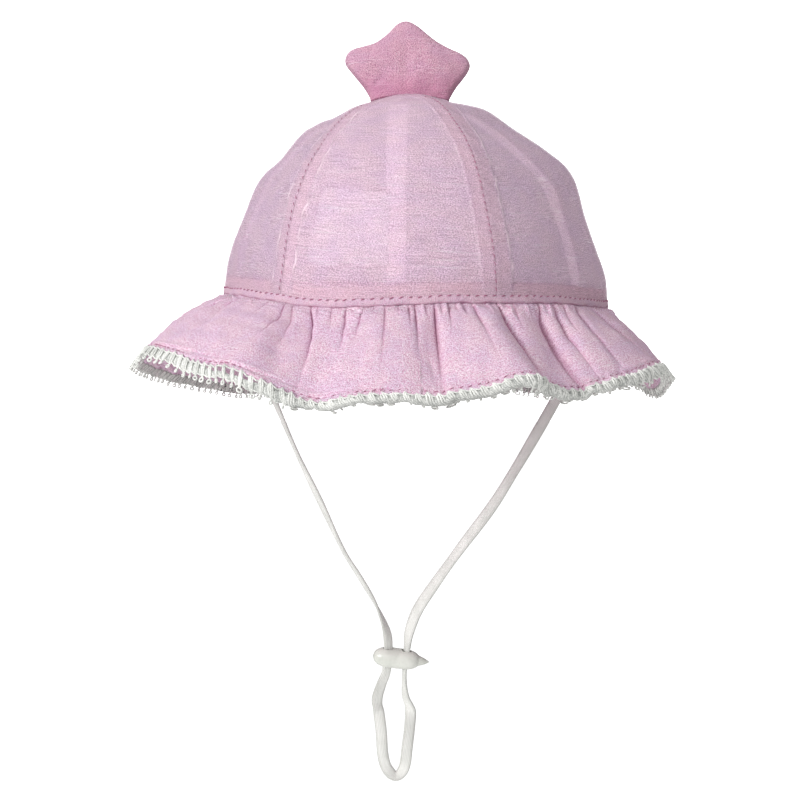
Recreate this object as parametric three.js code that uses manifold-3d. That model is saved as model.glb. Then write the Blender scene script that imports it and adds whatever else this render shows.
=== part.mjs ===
// A baby's sun hat: a five-panel cloth crown, a gathered brim with lace, a stuffed star on
// top, a blank label inside, and a flat chin strap that runs through a two-hole stopper.
// Millimetres, +Z up, front towards -Y. The origin is the middle of the head opening, at the
// height of the seam between crown and brim, which is where the hat sits on a head.
// Azimuths are in degrees from the front, positive towards +X.

import * as THREE from 'three';
import { mergeVertices } from 'three/addons/utils/BufferGeometryUtils.js';
import Module from 'manifold-3d';

const wasm = await Module();
wasm.setup();

// ---------------------------------------------------------------- driving sizes
const HALF_WIDTH = 72.4;          // crown at the seam, side to side
const HALF_LENGTH = 84;           // crown at the seam, front to back
const CROWN_HEIGHT = 75.8;
const APEX_SHIFT = -2.2;          // the top sits a little to the left
const CLOTH = 1.2;                // wall of crown, brim and lace
const GAP = 0.3;                  // between neighbouring pieces
const APEX_HOLE = 0.06;           // panels stop at this share of the full width
const PANEL_FLATTENING = 0.022;   // middle of a panel lies inside the round dome by this share

const WELT_HEIGHT = 2.2;
const WELT_DROP = 0.3;            // how far the welt reaches below the seam
const WELT = 1.0;
const FACING_RISE = 6.2;
const FACING_DROP = 2.4;
const FACING = 1.0;
const FACING_INSET = 0.5;         // clear space between the crown's wall and the facing
const CROWN_DRAFT = 0.17;         // how far the crown's wall leans in, per millimetre of height

const LACE_WIDTH = 4.4;
const BRIM_START_DROP = 1.2;      // the brim starts this far below the crown's edge

const STAR_HALF_THICKNESS = 7.6;
const STAR_SEAM = 0.5;            // half thickness at the sewn outline
const STAR_BASE_HALF = 6.0;       // half thickness where the star sits on the crown

const STRAP_WIDTH = 4.4;
const STRAP_THICKNESS = 1.4;
const HOLE_CLEARANCE = 0.45;
// The strap's ends lie flat against the inside of the facing.
const STRAP_SEAT = HALF_WIDTH - CLOTH - FACING_INSET - FACING - 1.5 * GAP - STRAP_THICKNESS / 2;

const STOPPER_LENGTH = 19.2;
const STOPPER_DIAMETER = 8.4;
const STOPPER_TILT = -6.8;        // the -X end is the higher one
const NUB_LENGTH = 3.5;
const NUB_RADIUS = 1.8;

const LABEL_TURN = [190.5, 224];  // azimuths of the label's two sides
const LABEL_RISE = [14.5, 47];    // heights of its lower and upper edge
const LABEL_THICKNESS = 1.0;
const LABEL_INSET = 0.75;         // clear space between the crown's wall and the label

// Crown: how wide it is at each height, as a share of the width at the seam.
const CROWN_PROFILE = [
  { height: 0, share: 1 },
  { height: 7, share: 0.985 },
  { height: 14, share: 0.966 },
  { height: 21, share: 0.942 },
  { height: 28, share: 0.905 },
  { height: 38, share: 0.843 },
  { height: 46, share: 0.78 },
  { height: 54, share: 0.684 },
  { height: 61.5, share: 0.556 },
  { height: 66, share: 0.468 },
  { height: 69.5, share: 0.378 },
  { height: 73, share: 0.245 },
  { height: 75, share: 0.135 },
  { height: 75.8, share: 0.02 },
];

// Crown panels, each from its first seam to the next one's.
const PANELS = [
  { name: 'crown_front', from: -37.3, to: 20.7, color: 0xe9c3d6 },
  { name: 'crown_right', from: 20.7, to: 111, color: 0xe4bcd0 },
  { name: 'crown_back_right', from: 111, to: 184, color: 0xe0b6cb },
  { name: 'crown_back_left', from: 184, to: 263, color: 0xe4bcd0 },
  { name: 'crown_left', from: 263, to: 322.7, color: 0xe0b6cb },
];

// Soft lumps and dents of the crown, pushed out (or in, when negative) along its normal.
const CROWN_LUMPS = [
  { azimuth: 80, height: 45, reach: 3.2, across: 26, up: 9.5 },
  { azimuth: 78, height: 69, reach: 1.0, across: 30, up: 4 },
  { azimuth: -80, height: 62, reach: 0.6, across: 30, up: 4 },
  { azimuth: -84, height: 53, reach: -1.1, across: 26, up: 5 },
  { azimuth: 96, height: 20, reach: -0.8, across: 20, up: 8 },
  { azimuth: -10, height: 34, reach: -0.9, across: 16, up: 14 },
  { azimuth: 150, height: 30, reach: -1.4, across: 18, up: 16 },
];

// Height of the seam line around the hat.
const SEAM_LINE = [
  { azimuth: -180, rise: 0.4 },
  { azimuth: -130, rise: 1.8 },
  { azimuth: -90, rise: 2.8 },
  { azimuth: -64, rise: 2.6 },
  { azimuth: -40, rise: 0.8 },
  { azimuth: -27, rise: -1.1 },
  { azimuth: -14, rise: -0.9 },
  { azimuth: 6, rise: 0.2 },
  { azimuth: 35, rise: 0 },
  { azimuth: 64, rise: -1.9 },
  { azimuth: 90, rise: -2.2 },
  { azimuth: 130, rise: -1 },
];

// Cloth edge of the brim: how far out from the seam, at what height, and how much the
// section bulges above the straight line between them.
const BRIM_EDGE = [
  { azimuth: -180, out: 16, height: -37.5, bulge: 5 },
  { azimuth: -165, out: 13, height: -38.5, bulge: 5 },
  { azimuth: -150, out: 17, height: -36.5, bulge: 5 },
  { azimuth: -135, out: 12, height: -38.5, bulge: 5 },
  { azimuth: -120, out: 15, height: -37.5, bulge: 6 },
  { azimuth: -110, out: 20, height: -34, bulge: 4 },
  { azimuth: -100, out: 27, height: -30, bulge: 4 },
  { azimuth: -90, out: 30.5, height: -25.5, bulge: 3.8 },
  { azimuth: -80, out: 31, height: -21.5, bulge: 3.8 },
  { azimuth: -70, out: 28.5, height: -18.5, bulge: 3.8 },
  { azimuth: -60, out: 30.5, height: -16, bulge: 3.8 },
  { azimuth: -50, out: 34, height: -14.6, bulge: 2.4 },
  { azimuth: -42, out: 32.4, height: -17, bulge: 2.4 },
  { azimuth: -35, out: 33, height: -18.9, bulge: 2.4 },
  { azimuth: -29, out: 33.5, height: -19.4, bulge: 2.4 },
  { azimuth: -23, out: 31, height: -23.4, bulge: 1.6 },
  { azimuth: -17, out: 27, height: -28.8, bulge: 1.6 },
  { azimuth: -11, out: 28.5, height: -26.5, bulge: 1.6 },
  { azimuth: -4, out: 29.5, height: -25.5, bulge: 1.6 },
  { azimuth: 4, out: 30, height: -25.2, bulge: 1.6 },
  { azimuth: 11, out: 32, height: -23.2, bulge: 1.6 },
  { azimuth: 17, out: 34.5, height: -19.8, bulge: 1.6 },
  { azimuth: 23, out: 31.5, height: -23.5, bulge: 1.6 },
  { azimuth: 30, out: 31.5, height: -23.8, bulge: 1.6 },
  { azimuth: 38, out: 32, height: -21.3, bulge: 1.6 },
  { azimuth: 46, out: 30, height: -19.9, bulge: 1.6 },
  { azimuth: 54, out: 26.5, height: -20.6, bulge: 2 },
  { azimuth: 62, out: 22.6, height: -22.5, bulge: 2 },
  { azimuth: 71, out: 20.4, height: -25.5, bulge: 2 },
  { azimuth: 81, out: 20.2, height: -29, bulge: 2 },
  { azimuth: 91, out: 21.8, height: -33, bulge: 2 },
  { azimuth: 101, out: 24.5, height: -36, bulge: 3 },
  { azimuth: 115, out: 26, height: -33.5, bulge: 3 },
  { azimuth: 128, out: 18, height: -37, bulge: 5 },
  { azimuth: 142, out: 13.5, height: -39.8, bulge: 5 },
  { azimuth: 160, out: 18, height: -37, bulge: 5 },
];

// Gather folds: valleys that start at the seam and lean as they run to the edge.
const BRIM_FOLDS = [
  { azimuth: -27.5, lean: 4, depth: 2.4, across: 3.2 },
  { azimuth: -12, lean: 1, depth: 1.2, across: 2.6 },
  { azimuth: 3.6, lean: -0.5, depth: 1.8, across: 2.6 },
  { azimuth: 21, lean: -2, depth: 1.8, across: 2.6 },
  { azimuth: 33, lean: -8, depth: 2.0, across: 3.2 },
  { azimuth: 50, lean: 3, depth: 1.4, across: 4 },
  { azimuth: 74, lean: 4, depth: 1.8, across: 4 },
  { azimuth: 108, lean: 0, depth: 2.2, across: 4 },
  { azimuth: 135, lean: 2, depth: 2.4, across: 4 },
  { azimuth: 168, lean: 0, depth: 2.4, across: 4 },
  { azimuth: -170, lean: 2, depth: 2.0, across: 4 },
  { azimuth: -143, lean: 2, depth: 2.4, across: 4 },
  { azimuth: -112, lean: 0, depth: 2.0, across: 4 },
  { azimuth: -76, lean: 2, depth: 1.6, across: 4 },
  { azimuth: -52, lean: 2, depth: 1.2, across: 4 },
];

// Outline of the star, seen from the front, from its right foot over the three tips to its
// left foot. The base between the feet is straight.
const STAR_OUTLINE = [
  { x: 12.3, height: 75.0 },
  { x: 13.8, height: 78.4 },
  { x: 17.0, height: 81.6 },
  { x: 19.4, height: 84.8 },
  { x: 20.3, height: 87.4 },
  { x: 19.2, height: 89.8 },
  { x: 16.6, height: 91.7 },
  { x: 12.4, height: 93.5 },
  { x: 8.0, height: 95.6 },
  { x: 3.6, height: 99.4 },
  { x: 0.2, height: 102.2 },
  { x: -3.9, height: 103.4 },
  { x: -7.6, height: 102.4 },
  { x: -11.0, height: 98.9 },
  { x: -15.2, height: 95.7 },
  { x: -19.8, height: 94.3 },
  { x: -24.0, height: 93.1 },
  { x: -26.3, height: 90.8 },
  { x: -26.4, height: 87.9 },
  { x: -24.1, height: 84.9 },
  { x: -20.8, height: 81.6 },
  { x: -17.9, height: 78.4 },
  { x: -16.6, height: 75.6 },
];
const STAR_CENTRE = { x: -3, height: 84.5 };
const STAR_BASE_STEPS = 6;
const STAR_RINGS = [1, 0.93, 0.8, 0.62, 0.42, 0.2];

// The strap's route in its own upright plane (y = 0), from inside the left of the crown, down
// through the stopper, round the loop, up through the stopper and to the right of the crown.
const STRAP_ROUTE = [
  { x: -STRAP_SEAT, height: 2.4 },
  { x: -STRAP_SEAT, height: -4.0 },
  { x: -66.4, height: -13 },
  { x: -60.2, height: -27 },
  { x: -54.2, height: -40.5 },
  { x: -45.8, height: -60.5 },
  { x: -37.4, height: -78.7 },
  { x: -28.1, height: -98.7 },
  { x: -22.4, height: -108.2 },
  { x: -16.2, height: -119 },
  { x: -11.7, height: -129.5 },
  { x: -10.6, height: -136.5 },
  { x: -11.4, height: -147.5 },
  { x: -13.4, height: -153 },
  { x: -15.1, height: -159 },
  { x: -14.4, height: -165 },
  { x: -13.5, height: -173 },
  { x: -12.9, height: -182 },
  { x: -11.2, height: -188 },
  { x: -7.6, height: -191.1 },
  { x: -4.4, height: -187.6 },
  { x: -3.1, height: -179 },
  { x: -2.0, height: -170 },
  { x: -1.9, height: -163.5 },
  { x: -3.9, height: -157.5 },
  { x: -4.2, height: -148.2 },
  { x: -3.2, height: -137.5 },
  { x: -2.4, height: -131.4 },
  { x: 1.0, height: -122.3 },
  { x: 7.6, height: -112 },
  { x: 18.4, height: -96.6 },
  { x: 30.1, height: -80.5 },
  { x: 39.3, height: -65.4 },
  { x: 46.5, height: -52.8 },
  { x: 54.4, height: -38.4 },
  { x: 61.0, height: -25.5 },
  { x: 66.2, height: -14.5 },
  { x: STRAP_SEAT, height: -8.0 },
  { x: STRAP_SEAT, height: -2.6 },
];
const STRAP_STEPS = 78;
// The route's two straight runs through the stopper, each from its upper to its lower end.
const STOPPER_RUNS = [
  [STRAP_ROUTE[11], STRAP_ROUTE[12]],
  [STRAP_ROUTE[26], STRAP_ROUTE[25]],
];

const CROWN_STEPS_UP = 9;
const CROWN_STEP_TURN = 5;        // degrees
const RING_STEPS = 90;
const BRIM_STEPS = 126;
const BRIM_STEPS_OUT = 6;

// ---------------------------------------------------------------- small helpers
const radians = THREE.MathUtils.degToRad;

// A smooth curve through the rows of a table, read at any azimuth and closed on itself.
function aroundTable(rows, column) {
  const turns = rows.map((row) => row.azimuth);
  return (azimuth) => {
    const count = rows.length;
    const turn = THREE.MathUtils.euclideanModulo(azimuth - turns[0], 360) + turns[0];
    let index = count - 1;
    while (turns[index] > turn) {
      index -= 1;
    }
    const at = (step) => {
      const place = THREE.MathUtils.euclideanModulo(index + step, count);
      const laps = Math.floor((index + step) / count);
      return { turn: turns[place] + 360 * laps, value: rows[place][column] };
    };
    return hermite(at(-1), at(0), at(1), at(2), turn);
  };
}

// One cubic piece between the two middle knots, with slopes taken from their neighbours.
function hermite(before, start, end, after, turn) {
  const span = end.turn - start.turn;
  const t = (turn - start.turn) / span;
  const startSlope = (end.value - before.value) / (end.turn - before.turn) * span;
  const endSlope = (after.value - start.value) / (after.turn - start.turn) * span;
  const t2 = t * t;
  const t3 = t2 * t;
  return start.value * (2 * t3 - 3 * t2 + 1) + startSlope * (t3 - 2 * t2 + t)
    + end.value * (3 * t2 - 2 * t3) + endSlope * (t3 - t2);
}

function bell(distance, width) {
  return Math.exp(-((distance / width) ** 2));
}

function turnBetween(a, b) {
  return THREE.MathUtils.euclideanModulo(a - b + 180, 360) - 180;
}

const seamRise = aroundTable(SEAM_LINE, 'rise');
const edgeOut = aroundTable(BRIM_EDGE, 'out');
const edgeHeight = aroundTable(BRIM_EDGE, 'height');
const edgeBulge = aroundTable(BRIM_EDGE, 'bulge');

// Outward direction of the crown's oval at an azimuth, level.
function outward(azimuth) {
  const turn = radians(azimuth);
  return new THREE.Vector3(Math.sin(turn) / HALF_WIDTH, -Math.cos(turn) / HALF_LENGTH, 0).normalize();
}

// A point of the oval at the seam, moved out by `offset` and up by `rise` from the seam line.
function seamPoint(azimuth, offset, rise) {
  const turn = radians(azimuth);
  const point = new THREE.Vector3(HALF_WIDTH * Math.sin(turn), -HALF_LENGTH * Math.cos(turn), 0);
  point.addScaledVector(outward(azimuth), offset);
  point.z = seamRise(azimuth) + rise;
  return point;
}

// A closed wall from a surface: `surface(u, v)` is its outer face for u and v from 0 to 1, and
// the inner face lies `thickness` behind it. With `ring`, u = 1 joins u = 0.
function wall(surface, stepsAround, stepsUp, thickness, ring = false) {
  const positions = [];
  const columns = ring ? stepsAround : stepsAround + 1;
  const rows = stepsUp + 1;
  const probe = 1e-3;
  const place = (u, v) => surface(ring ? THREE.MathUtils.euclideanModulo(u, 1) : u, v);
  const along = new THREE.Vector3();
  const up = new THREE.Vector3();
  for (const depth of [0, thickness]) {
    for (let i = 0; i < columns; i += 1) {
      for (let j = 0; j < rows; j += 1) {
        const u = i / stepsAround;
        const v = j / stepsUp;
        const low = ring ? u - probe : Math.max(0, u - probe);
        const high = ring ? u + probe : Math.min(1, u + probe);
        along.copy(place(high, v)).sub(place(low, v));
        up.copy(place(u, Math.min(1, v + probe))).sub(place(u, Math.max(0, v - probe)));
        const normal = along.cross(up).normalize();
        const point = place(u, v).clone().addScaledVector(normal, -depth);
        positions.push(point.x, point.y, point.z);
      }
    }
  }
  const half = columns * rows;
  const id = (i, j, side) => (i % columns) * rows + j + side * half;
  const triangles = [];
  const quad = (a, b, c, d) => triangles.push(a, b, c, a, c, d);
  for (let i = 0; i < stepsAround; i += 1) {
    for (let j = 0; j < stepsUp; j += 1) {
      quad(id(i, j, 0), id(i + 1, j, 0), id(i + 1, j + 1, 0), id(i, j + 1, 0));
      quad(id(i, j, 1), id(i, j + 1, 1), id(i + 1, j + 1, 1), id(i + 1, j, 1));
    }
    quad(id(i, 0, 0), id(i, 0, 1), id(i + 1, 0, 1), id(i + 1, 0, 0));
    quad(id(i, stepsUp, 0), id(i + 1, stepsUp, 0), id(i + 1, stepsUp, 1), id(i, stepsUp, 1));
  }
  if (!ring) {
    const last = stepsAround;
    for (let j = 0; j < stepsUp; j += 1) {
      quad(id(0, j, 0), id(0, j + 1, 0), id(0, j + 1, 1), id(0, j, 1));
      quad(id(last, j, 0), id(last, j, 1), id(last, j + 1, 1), id(last, j + 1, 0));
    }
  }
  const geometry = new THREE.BufferGeometry();
  geometry.setAttribute('position', new THREE.Float32BufferAttribute(positions, 3));
  geometry.setIndex(triangles);
  geometry.computeVertexNormals();
  return geometry;
}

function named(name, geometry, color, roughness) {
  const material = new THREE.MeshStandardMaterial({ color, roughness, metalness: 0 });
  const mesh = new THREE.Mesh(geometry, material);
  mesh.name = name;
  return mesh;
}

function toSolid(geometry) {
  const bare = geometry.clone();
  bare.deleteAttribute('normal');
  bare.deleteAttribute('uv');
  const merged = mergeVertices(bare);
  const triVerts = Uint32Array.from(merged.index.array);
  const vertProperties = Float32Array.from(merged.attributes.position.array);
  return new wasm.Manifold(new wasm.Mesh({ numProp: 3, vertProperties, triVerts }));
}

function fromSolid(solid) {
  const mesh = solid.getMesh();
  const geometry = new THREE.BufferGeometry();
  geometry.setAttribute('position', new THREE.BufferAttribute(mesh.vertProperties, 3));
  geometry.setIndex(new THREE.BufferAttribute(mesh.triVerts, 1));
  geometry.computeVertexNormals();
  return geometry;
}

// ---------------------------------------------------------------- crown
const profileCurve = new THREE.CatmullRomCurve3(
  CROWN_PROFILE.map((row) => new THREE.Vector3(row.share, 0, row.height / CROWN_HEIGHT)),
  false,
  'centripetal',
);

// How far an azimuth lies from the seams on either side: 0 at a seam, 1 mid-panel.
function midPanel(azimuth) {
  for (const panel of PANELS) {
    const along = THREE.MathUtils.euclideanModulo(azimuth - panel.from, 360) / (panel.to - panel.from);
    if (along <= 1) {
      return Math.sin(Math.PI * along);
    }
  }
  return 0;
}

// The dome's outer face: `climb` runs from 0 at the seam to 1 at the apex.
function domePoint(azimuth, climb) {
  const profile = profileCurve.getPoint(climb);
  const flatter = 1 - PANEL_FLATTENING * midPanel(azimuth) * THREE.MathUtils.smoothstep(climb, 0.1, 0.6);
  const share = profile.x * flatter;
  const turn = radians(azimuth);
  const height = profile.z * CROWN_HEIGHT;
  const point = new THREE.Vector3(
    HALF_WIDTH * share * Math.sin(turn) + APEX_SHIFT * profile.z ** 2,
    -HALF_LENGTH * share * Math.cos(turn),
    height + seamRise(azimuth) * (1 - profile.z) ** 1.5,
  );
  const normal = outward(azimuth).multiplyScalar(1 - profile.z);
  normal.z = profile.z;
  normal.normalize();
  for (const lump of CROWN_LUMPS) {
    const across = bell(turnBetween(azimuth, lump.azimuth), lump.across);
    point.addScaledVector(normal, lump.reach * across * bell(height - lump.height, lump.up));
  }
  return point;
}

// The climb at which the dome is as wide as the hole that the panels leave at the apex.
function climbToHole() {
  let climb = 1;
  while (profileCurve.getPoint(climb).x < APEX_HOLE) {
    climb -= 0.002;
  }
  return climb;
}
const TOP_CLIMB = climbToHole();

function crownPanel(panel) {
  const width = panel.to - panel.from;
  const steps = Math.round(width / CROWN_STEP_TURN);
  const surface = (u, v) => {
    const climb = v * TOP_CLIMB;
    // The gap between panels keeps its width in millimetres as they narrow.
    const share = profileCurve.getPoint(climb).x;
    const gapTurn = THREE.MathUtils.radToDeg(GAP / 2 / (HALF_WIDTH * share));
    return domePoint(panel.from + gapTurn + u * (width - 2 * gapTurn), climb);
  };
  return named(panel.name, wall(surface, steps, CROWN_STEPS_UP, CLOTH), panel.color, 0.85);
}

// ---------------------------------------------------------------- welt and facing
function crownWelt() {
  const surface = (u, v) => {
    const azimuth = 360 * u - 180;
    const rise = v * WELT_HEIGHT - WELT_DROP;
    return seamPoint(azimuth, GAP + WELT - 0.1 * rise, rise);
  };
  return named('crown_welt', wall(surface, RING_STEPS, 1, WELT, true), 0xe5b4cc, 0.85);
}

function crownFacing() {
  const surface = (u, v) => {
    const azimuth = 360 * u - 180;
    const rise = v * (FACING_RISE + FACING_DROP) - FACING_DROP;
    const lean = -CROWN_DRAFT * Math.max(0, rise);
    return seamPoint(azimuth, lean - CLOTH - FACING_INSET, rise);
  };
  return named('crown_facing', wall(surface, RING_STEPS, 1, FACING, true), 0xd9a0bd, 0.9);
}

// ---------------------------------------------------------------- brim and lace
// The brim's upper face: `out` runs from 0 at the seam to 1 at the cloth's edge, and each
// unit past 1 is a millimetre along the lace.
function brimPoint(azimuth, out) {
  const along = Math.min(out, 1);
  const bulge = edgeBulge(azimuth);
  const start = new THREE.Vector2(0, seamRise(azimuth) - BRIM_START_DROP);
  const end = new THREE.Vector2(edgeOut(azimuth), edgeHeight(azimuth));
  const chord = end.clone().sub(start);
  const above = new THREE.Vector2(-chord.y, chord.x).normalize();
  const section = start.clone().addScaledVector(chord, along).addScaledVector(above, bulge * arch(along));
  let dip = 0;
  for (const fold of BRIM_FOLDS) {
    const offset = turnBetween(azimuth, fold.azimuth + fold.lean * along);
    const width = fold.across * (0.7 + 0.6 * along);
    dip += fold.depth * bell(offset, width) * Math.sin(Math.PI * (0.12 + 0.76 * along)) ** 1.5;
  }
  section.addScaledVector(above, -dip * THREE.MathUtils.smoothstep(along, 0, 0.25));
  if (out > 1) {
    section.addScaledVector(edgeDirection(chord, above, bulge), out - 1);
  }
  const point = seamPoint(azimuth, section.x, 0);
  point.z = section.y;
  return point;
}

// How high the brim's section arches above its straight line, as a share of the bulge.
function arch(along) {
  return 4 * along * (1 - along) * (1.15 - 0.3 * along);
}

// Unit direction in which the section runs at the cloth's edge.
function edgeDirection(chord, above, bulge) {
  const last = 0.03;
  return chord.clone().multiplyScalar(last).addScaledVector(above, -bulge * arch(1 - last)).normalize();
}

function brim() {
  const surface = (u, v) => brimPoint(360 * u - 180, 1 - v);
  return named('brim', wall(surface, BRIM_STEPS, BRIM_STEPS_OUT, CLOTH, true), 0xf0c6da, 0.85);
}

function laceTrim() {
  const surface = (u, v) => brimPoint(360 * u - 180, 1 + GAP + (1 - v) * LACE_WIDTH);
  return named('lace_trim', wall(surface, BRIM_STEPS, 1, CLOTH, true), 0xf4f3f0, 0.9);
}

// ---------------------------------------------------------------- label
function label() {
  const [from, to] = LABEL_TURN;
  const [low, high] = LABEL_RISE;
  const climbAt = (height) => {
    let climb = 0;
    while (profileCurve.getPoint(climb).z * CROWN_HEIGHT < height) {
      climb += 0.001;
    }
    return climb;
  };
  const lowClimb = climbAt(low);
  const highClimb = climbAt(high);
  const inset = CLOTH + LABEL_INSET;
  const surface = (u, v) => {
    const azimuth = from + u * (to - from);
    const climb = lowClimb + v * (highClimb - lowClimb);
    const step = 0.01;
    const across = domePoint(azimuth + 0.5, climb).sub(domePoint(azimuth - 0.5, climb));
    const upward = domePoint(azimuth, climb + step).sub(domePoint(azimuth, climb - step));
    const normal = across.cross(upward).normalize();
    return domePoint(azimuth, climb).addScaledVector(normal, -inset);
  };
  return named('label', wall(surface, 7, 6, LABEL_THICKNESS), 0xf6e9ef, 0.7);
}

// ---------------------------------------------------------------- star
// Height of the dome's top under a point near the apex, from the crown's own profile.
function domeTopHeight(x, y) {
  const target = Math.hypot((x - APEX_SHIFT) / HALF_WIDTH, y / HALF_LENGTH);
  let climb = 1;
  while (profileCurve.getPoint(climb).x < target && climb > 0.5) {
    climb -= 0.001;
  }
  return profileCurve.getPoint(climb).z * CROWN_HEIGHT;
}

function starOutline() {
  const points = STAR_OUTLINE.map((row) => new THREE.Vector2(row.x, row.height));
  const first = points[0];
  const last = points[points.length - 1];
  const base = [];
  for (let i = 1; i < STAR_BASE_STEPS; i += 1) {
    base.push(last.clone().lerp(first, i / STAR_BASE_STEPS));
  }
  const sides = points.map((point) => ({ point, base: false }));
  const foot = base.map((point) => ({ point, base: true }));
  sides[0].base = true;
  sides[sides.length - 1].base = true;
  return sides.concat(foot);
}

function starTopknot() {
  const outline = starOutline();
  const count = outline.length;
  const centre = new THREE.Vector2(STAR_CENTRE.x, STAR_CENTRE.height);
  const positions = [];
  const seat = (x, y) => domeTopHeight(x, y) + GAP + 0.35;
  const halfAt = (ring, isBase) => {
    const reach = isBase ? ring * 0.72 : ring;
    const swell = Math.sqrt(Math.max(0, 1 - reach ** 2.4));
    const full = STAR_SEAM + (STAR_HALF_THICKNESS - STAR_SEAM) * swell;
    return isBase && ring === 1 ? STAR_BASE_HALF : full;
  };
  for (const side of [-1, 1]) {
    for (const ring of STAR_RINGS) {
      for (const { point, base } of outline) {
        const spot = centre.clone().lerp(point, ring);
        const y = side * halfAt(ring, base);
        const height = base && ring === 1 ? seat(spot.x, y) : spot.y;
        positions.push(spot.x, y, height);
      }
    }
    positions.push(centre.x, side * halfAt(0, false), centre.y);
  }
  const perSide = STAR_RINGS.length * count + 1;
  const id = (side, ring, i) => side * perSide + ring * count + (i % count);
  const triangles = [];
  for (const side of [0, 1]) {
    const turn = side === 0
      ? (a, b, c) => triangles.push(a, b, c)
      : (a, b, c) => triangles.push(a, c, b);
    const hub = side * perSide + STAR_RINGS.length * count;
    for (let i = 0; i < count; i += 1) {
      for (let ring = 0; ring < STAR_RINGS.length - 1; ring += 1) {
        turn(id(side, ring, i), id(side, ring, i + 1), id(side, ring + 1, i + 1));
        turn(id(side, ring, i), id(side, ring + 1, i + 1), id(side, ring + 1, i));
      }
      turn(id(side, STAR_RINGS.length - 1, i), id(side, STAR_RINGS.length - 1, i + 1), hub);
    }
  }
  for (let i = 0; i < count; i += 1) {
    triangles.push(id(0, 0, i), id(1, 0, i), id(1, 0, i + 1));
    triangles.push(id(0, 0, i), id(1, 0, i + 1), id(0, 0, i + 1));
  }
  const geometry = new THREE.BufferGeometry();
  geometry.setAttribute('position', new THREE.Float32BufferAttribute(positions, 3));
  geometry.setIndex(triangles);
  geometry.computeVertexNormals();
  return named('star_topknot', geometry, 0xd68fb0, 0.85);
}

// ---------------------------------------------------------------- strap and stopper
function strapCurve() {
  const points = STRAP_ROUTE.map((row) => new THREE.Vector3(row.x, 0, row.height));
  return new THREE.CatmullRomCurve3(points, false, 'centripetal');
}

function strapSection(width, thickness) {
  const shape = new THREE.Shape();
  const sides = 8;
  for (let i = 0; i < sides; i += 1) {
    const turn = (i + 0.5) / sides * 2 * Math.PI;
    const x = Math.sign(Math.cos(turn)) * Math.abs(Math.cos(turn)) ** 0.6 * width / 2;
    const y = Math.sign(Math.sin(turn)) * Math.abs(Math.sin(turn)) ** 0.6 * thickness / 2;
    if (i === 0) {
      shape.moveTo(x, y);
    } else {
      shape.lineTo(x, y);
    }
  }
  shape.closePath();
  return shape;
}

function chinStrap() {
  const geometry = new THREE.ExtrudeGeometry(strapSection(STRAP_WIDTH, STRAP_THICKNESS), {
    steps: STRAP_STEPS,
    extrudePath: strapCurve(),
    bevelEnabled: false,
  });
  return named('chin_strap', geometry, 0xf1f0ec, 0.9);
}

// A slot for the strap along the straight line between two heights of its route.
function stopperSlot(top, bottom) {
  const clear = 2 * HOLE_CLEARANCE;
  const path = new THREE.LineCurve3(
    new THREE.Vector3(top.x, 0, top.height).lerp(new THREE.Vector3(bottom.x, 0, bottom.height), -0.3),
    new THREE.Vector3(top.x, 0, top.height).lerp(new THREE.Vector3(bottom.x, 0, bottom.height), 1.3),
  );
  const geometry = new THREE.ExtrudeGeometry(strapSection(STRAP_WIDTH + clear, STRAP_THICKNESS + clear), {
    steps: 1,
    extrudePath: path,
    bevelEnabled: false,
  });
  return toSolid(geometry);
}

function cordStopper() {
  const half = STOPPER_LENGTH / 2;
  const radius = STOPPER_DIAMETER / 2;
  const rows = 14;
  const bean = [];
  for (let i = 0; i <= rows; i += 1) {
    const turn = Math.PI * (i / rows) - Math.PI / 2;
    const reach = Math.abs(Math.cos(turn)) ** 0.85 * radius;
    bean.push(new THREE.Vector2(i === 0 || i === rows ? 0 : reach, half * Math.sin(turn)));
  }
  const nub = [
    new THREE.Vector2(0, half - 3),
    new THREE.Vector2(NUB_RADIUS * 1.15, half - 3),
    new THREE.Vector2(NUB_RADIUS, half),
    new THREE.Vector2(NUB_RADIUS * 0.45, half + NUB_LENGTH * 0.8),
    new THREE.Vector2(0, half + NUB_LENGTH),
  ];
  const beanGeometry = new THREE.LatheGeometry(bean, 20);
  const nubGeometry = new THREE.LatheGeometry(nub, 12);
  const [down, up] = STOPPER_RUNS;
  const ends = [...down, ...up];
  const centre = {
    x: ends.reduce((sum, row) => sum + row.x, 0) / ends.length,
    height: (down[0].height + down[1].height) / 2 - 0.2,
  };
  for (const geometry of [beanGeometry, nubGeometry]) {
    geometry.rotateZ(radians(-90));
    geometry.rotateY(radians(-STOPPER_TILT));
    geometry.translate(centre.x, 0, centre.height);
  }
  const solid = toSolid(beanGeometry)
    .add(toSolid(nubGeometry))
    .subtract(stopperSlot(...down))
    .subtract(stopperSlot(...up));
  return named('cord_stopper', fromSolid(solid), 0xf2f2ee, 0.25);
}

// ---------------------------------------------------------------- the hat
const hat = new THREE.Group();
for (const panel of PANELS) {
  hat.add(crownPanel(panel));
}
hat.add(crownWelt(), crownFacing(), brim(), laceTrim(), label());
hat.add(starTopknot(), chinStrap(), cordStopper());

export default hat;
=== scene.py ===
"""The looks of a baby's sun hat: five sheer cloth panels, a gathered brim with crochet lace, a
stuffed star, a blank label and a chin tape that runs through a two-hole stopper.

Shapes are worked out in millimetres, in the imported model's own frame, and turned into metres
when a mesh is made. Azimuths are in degrees from the front (-Y), positive towards +X."""

import math

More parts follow.
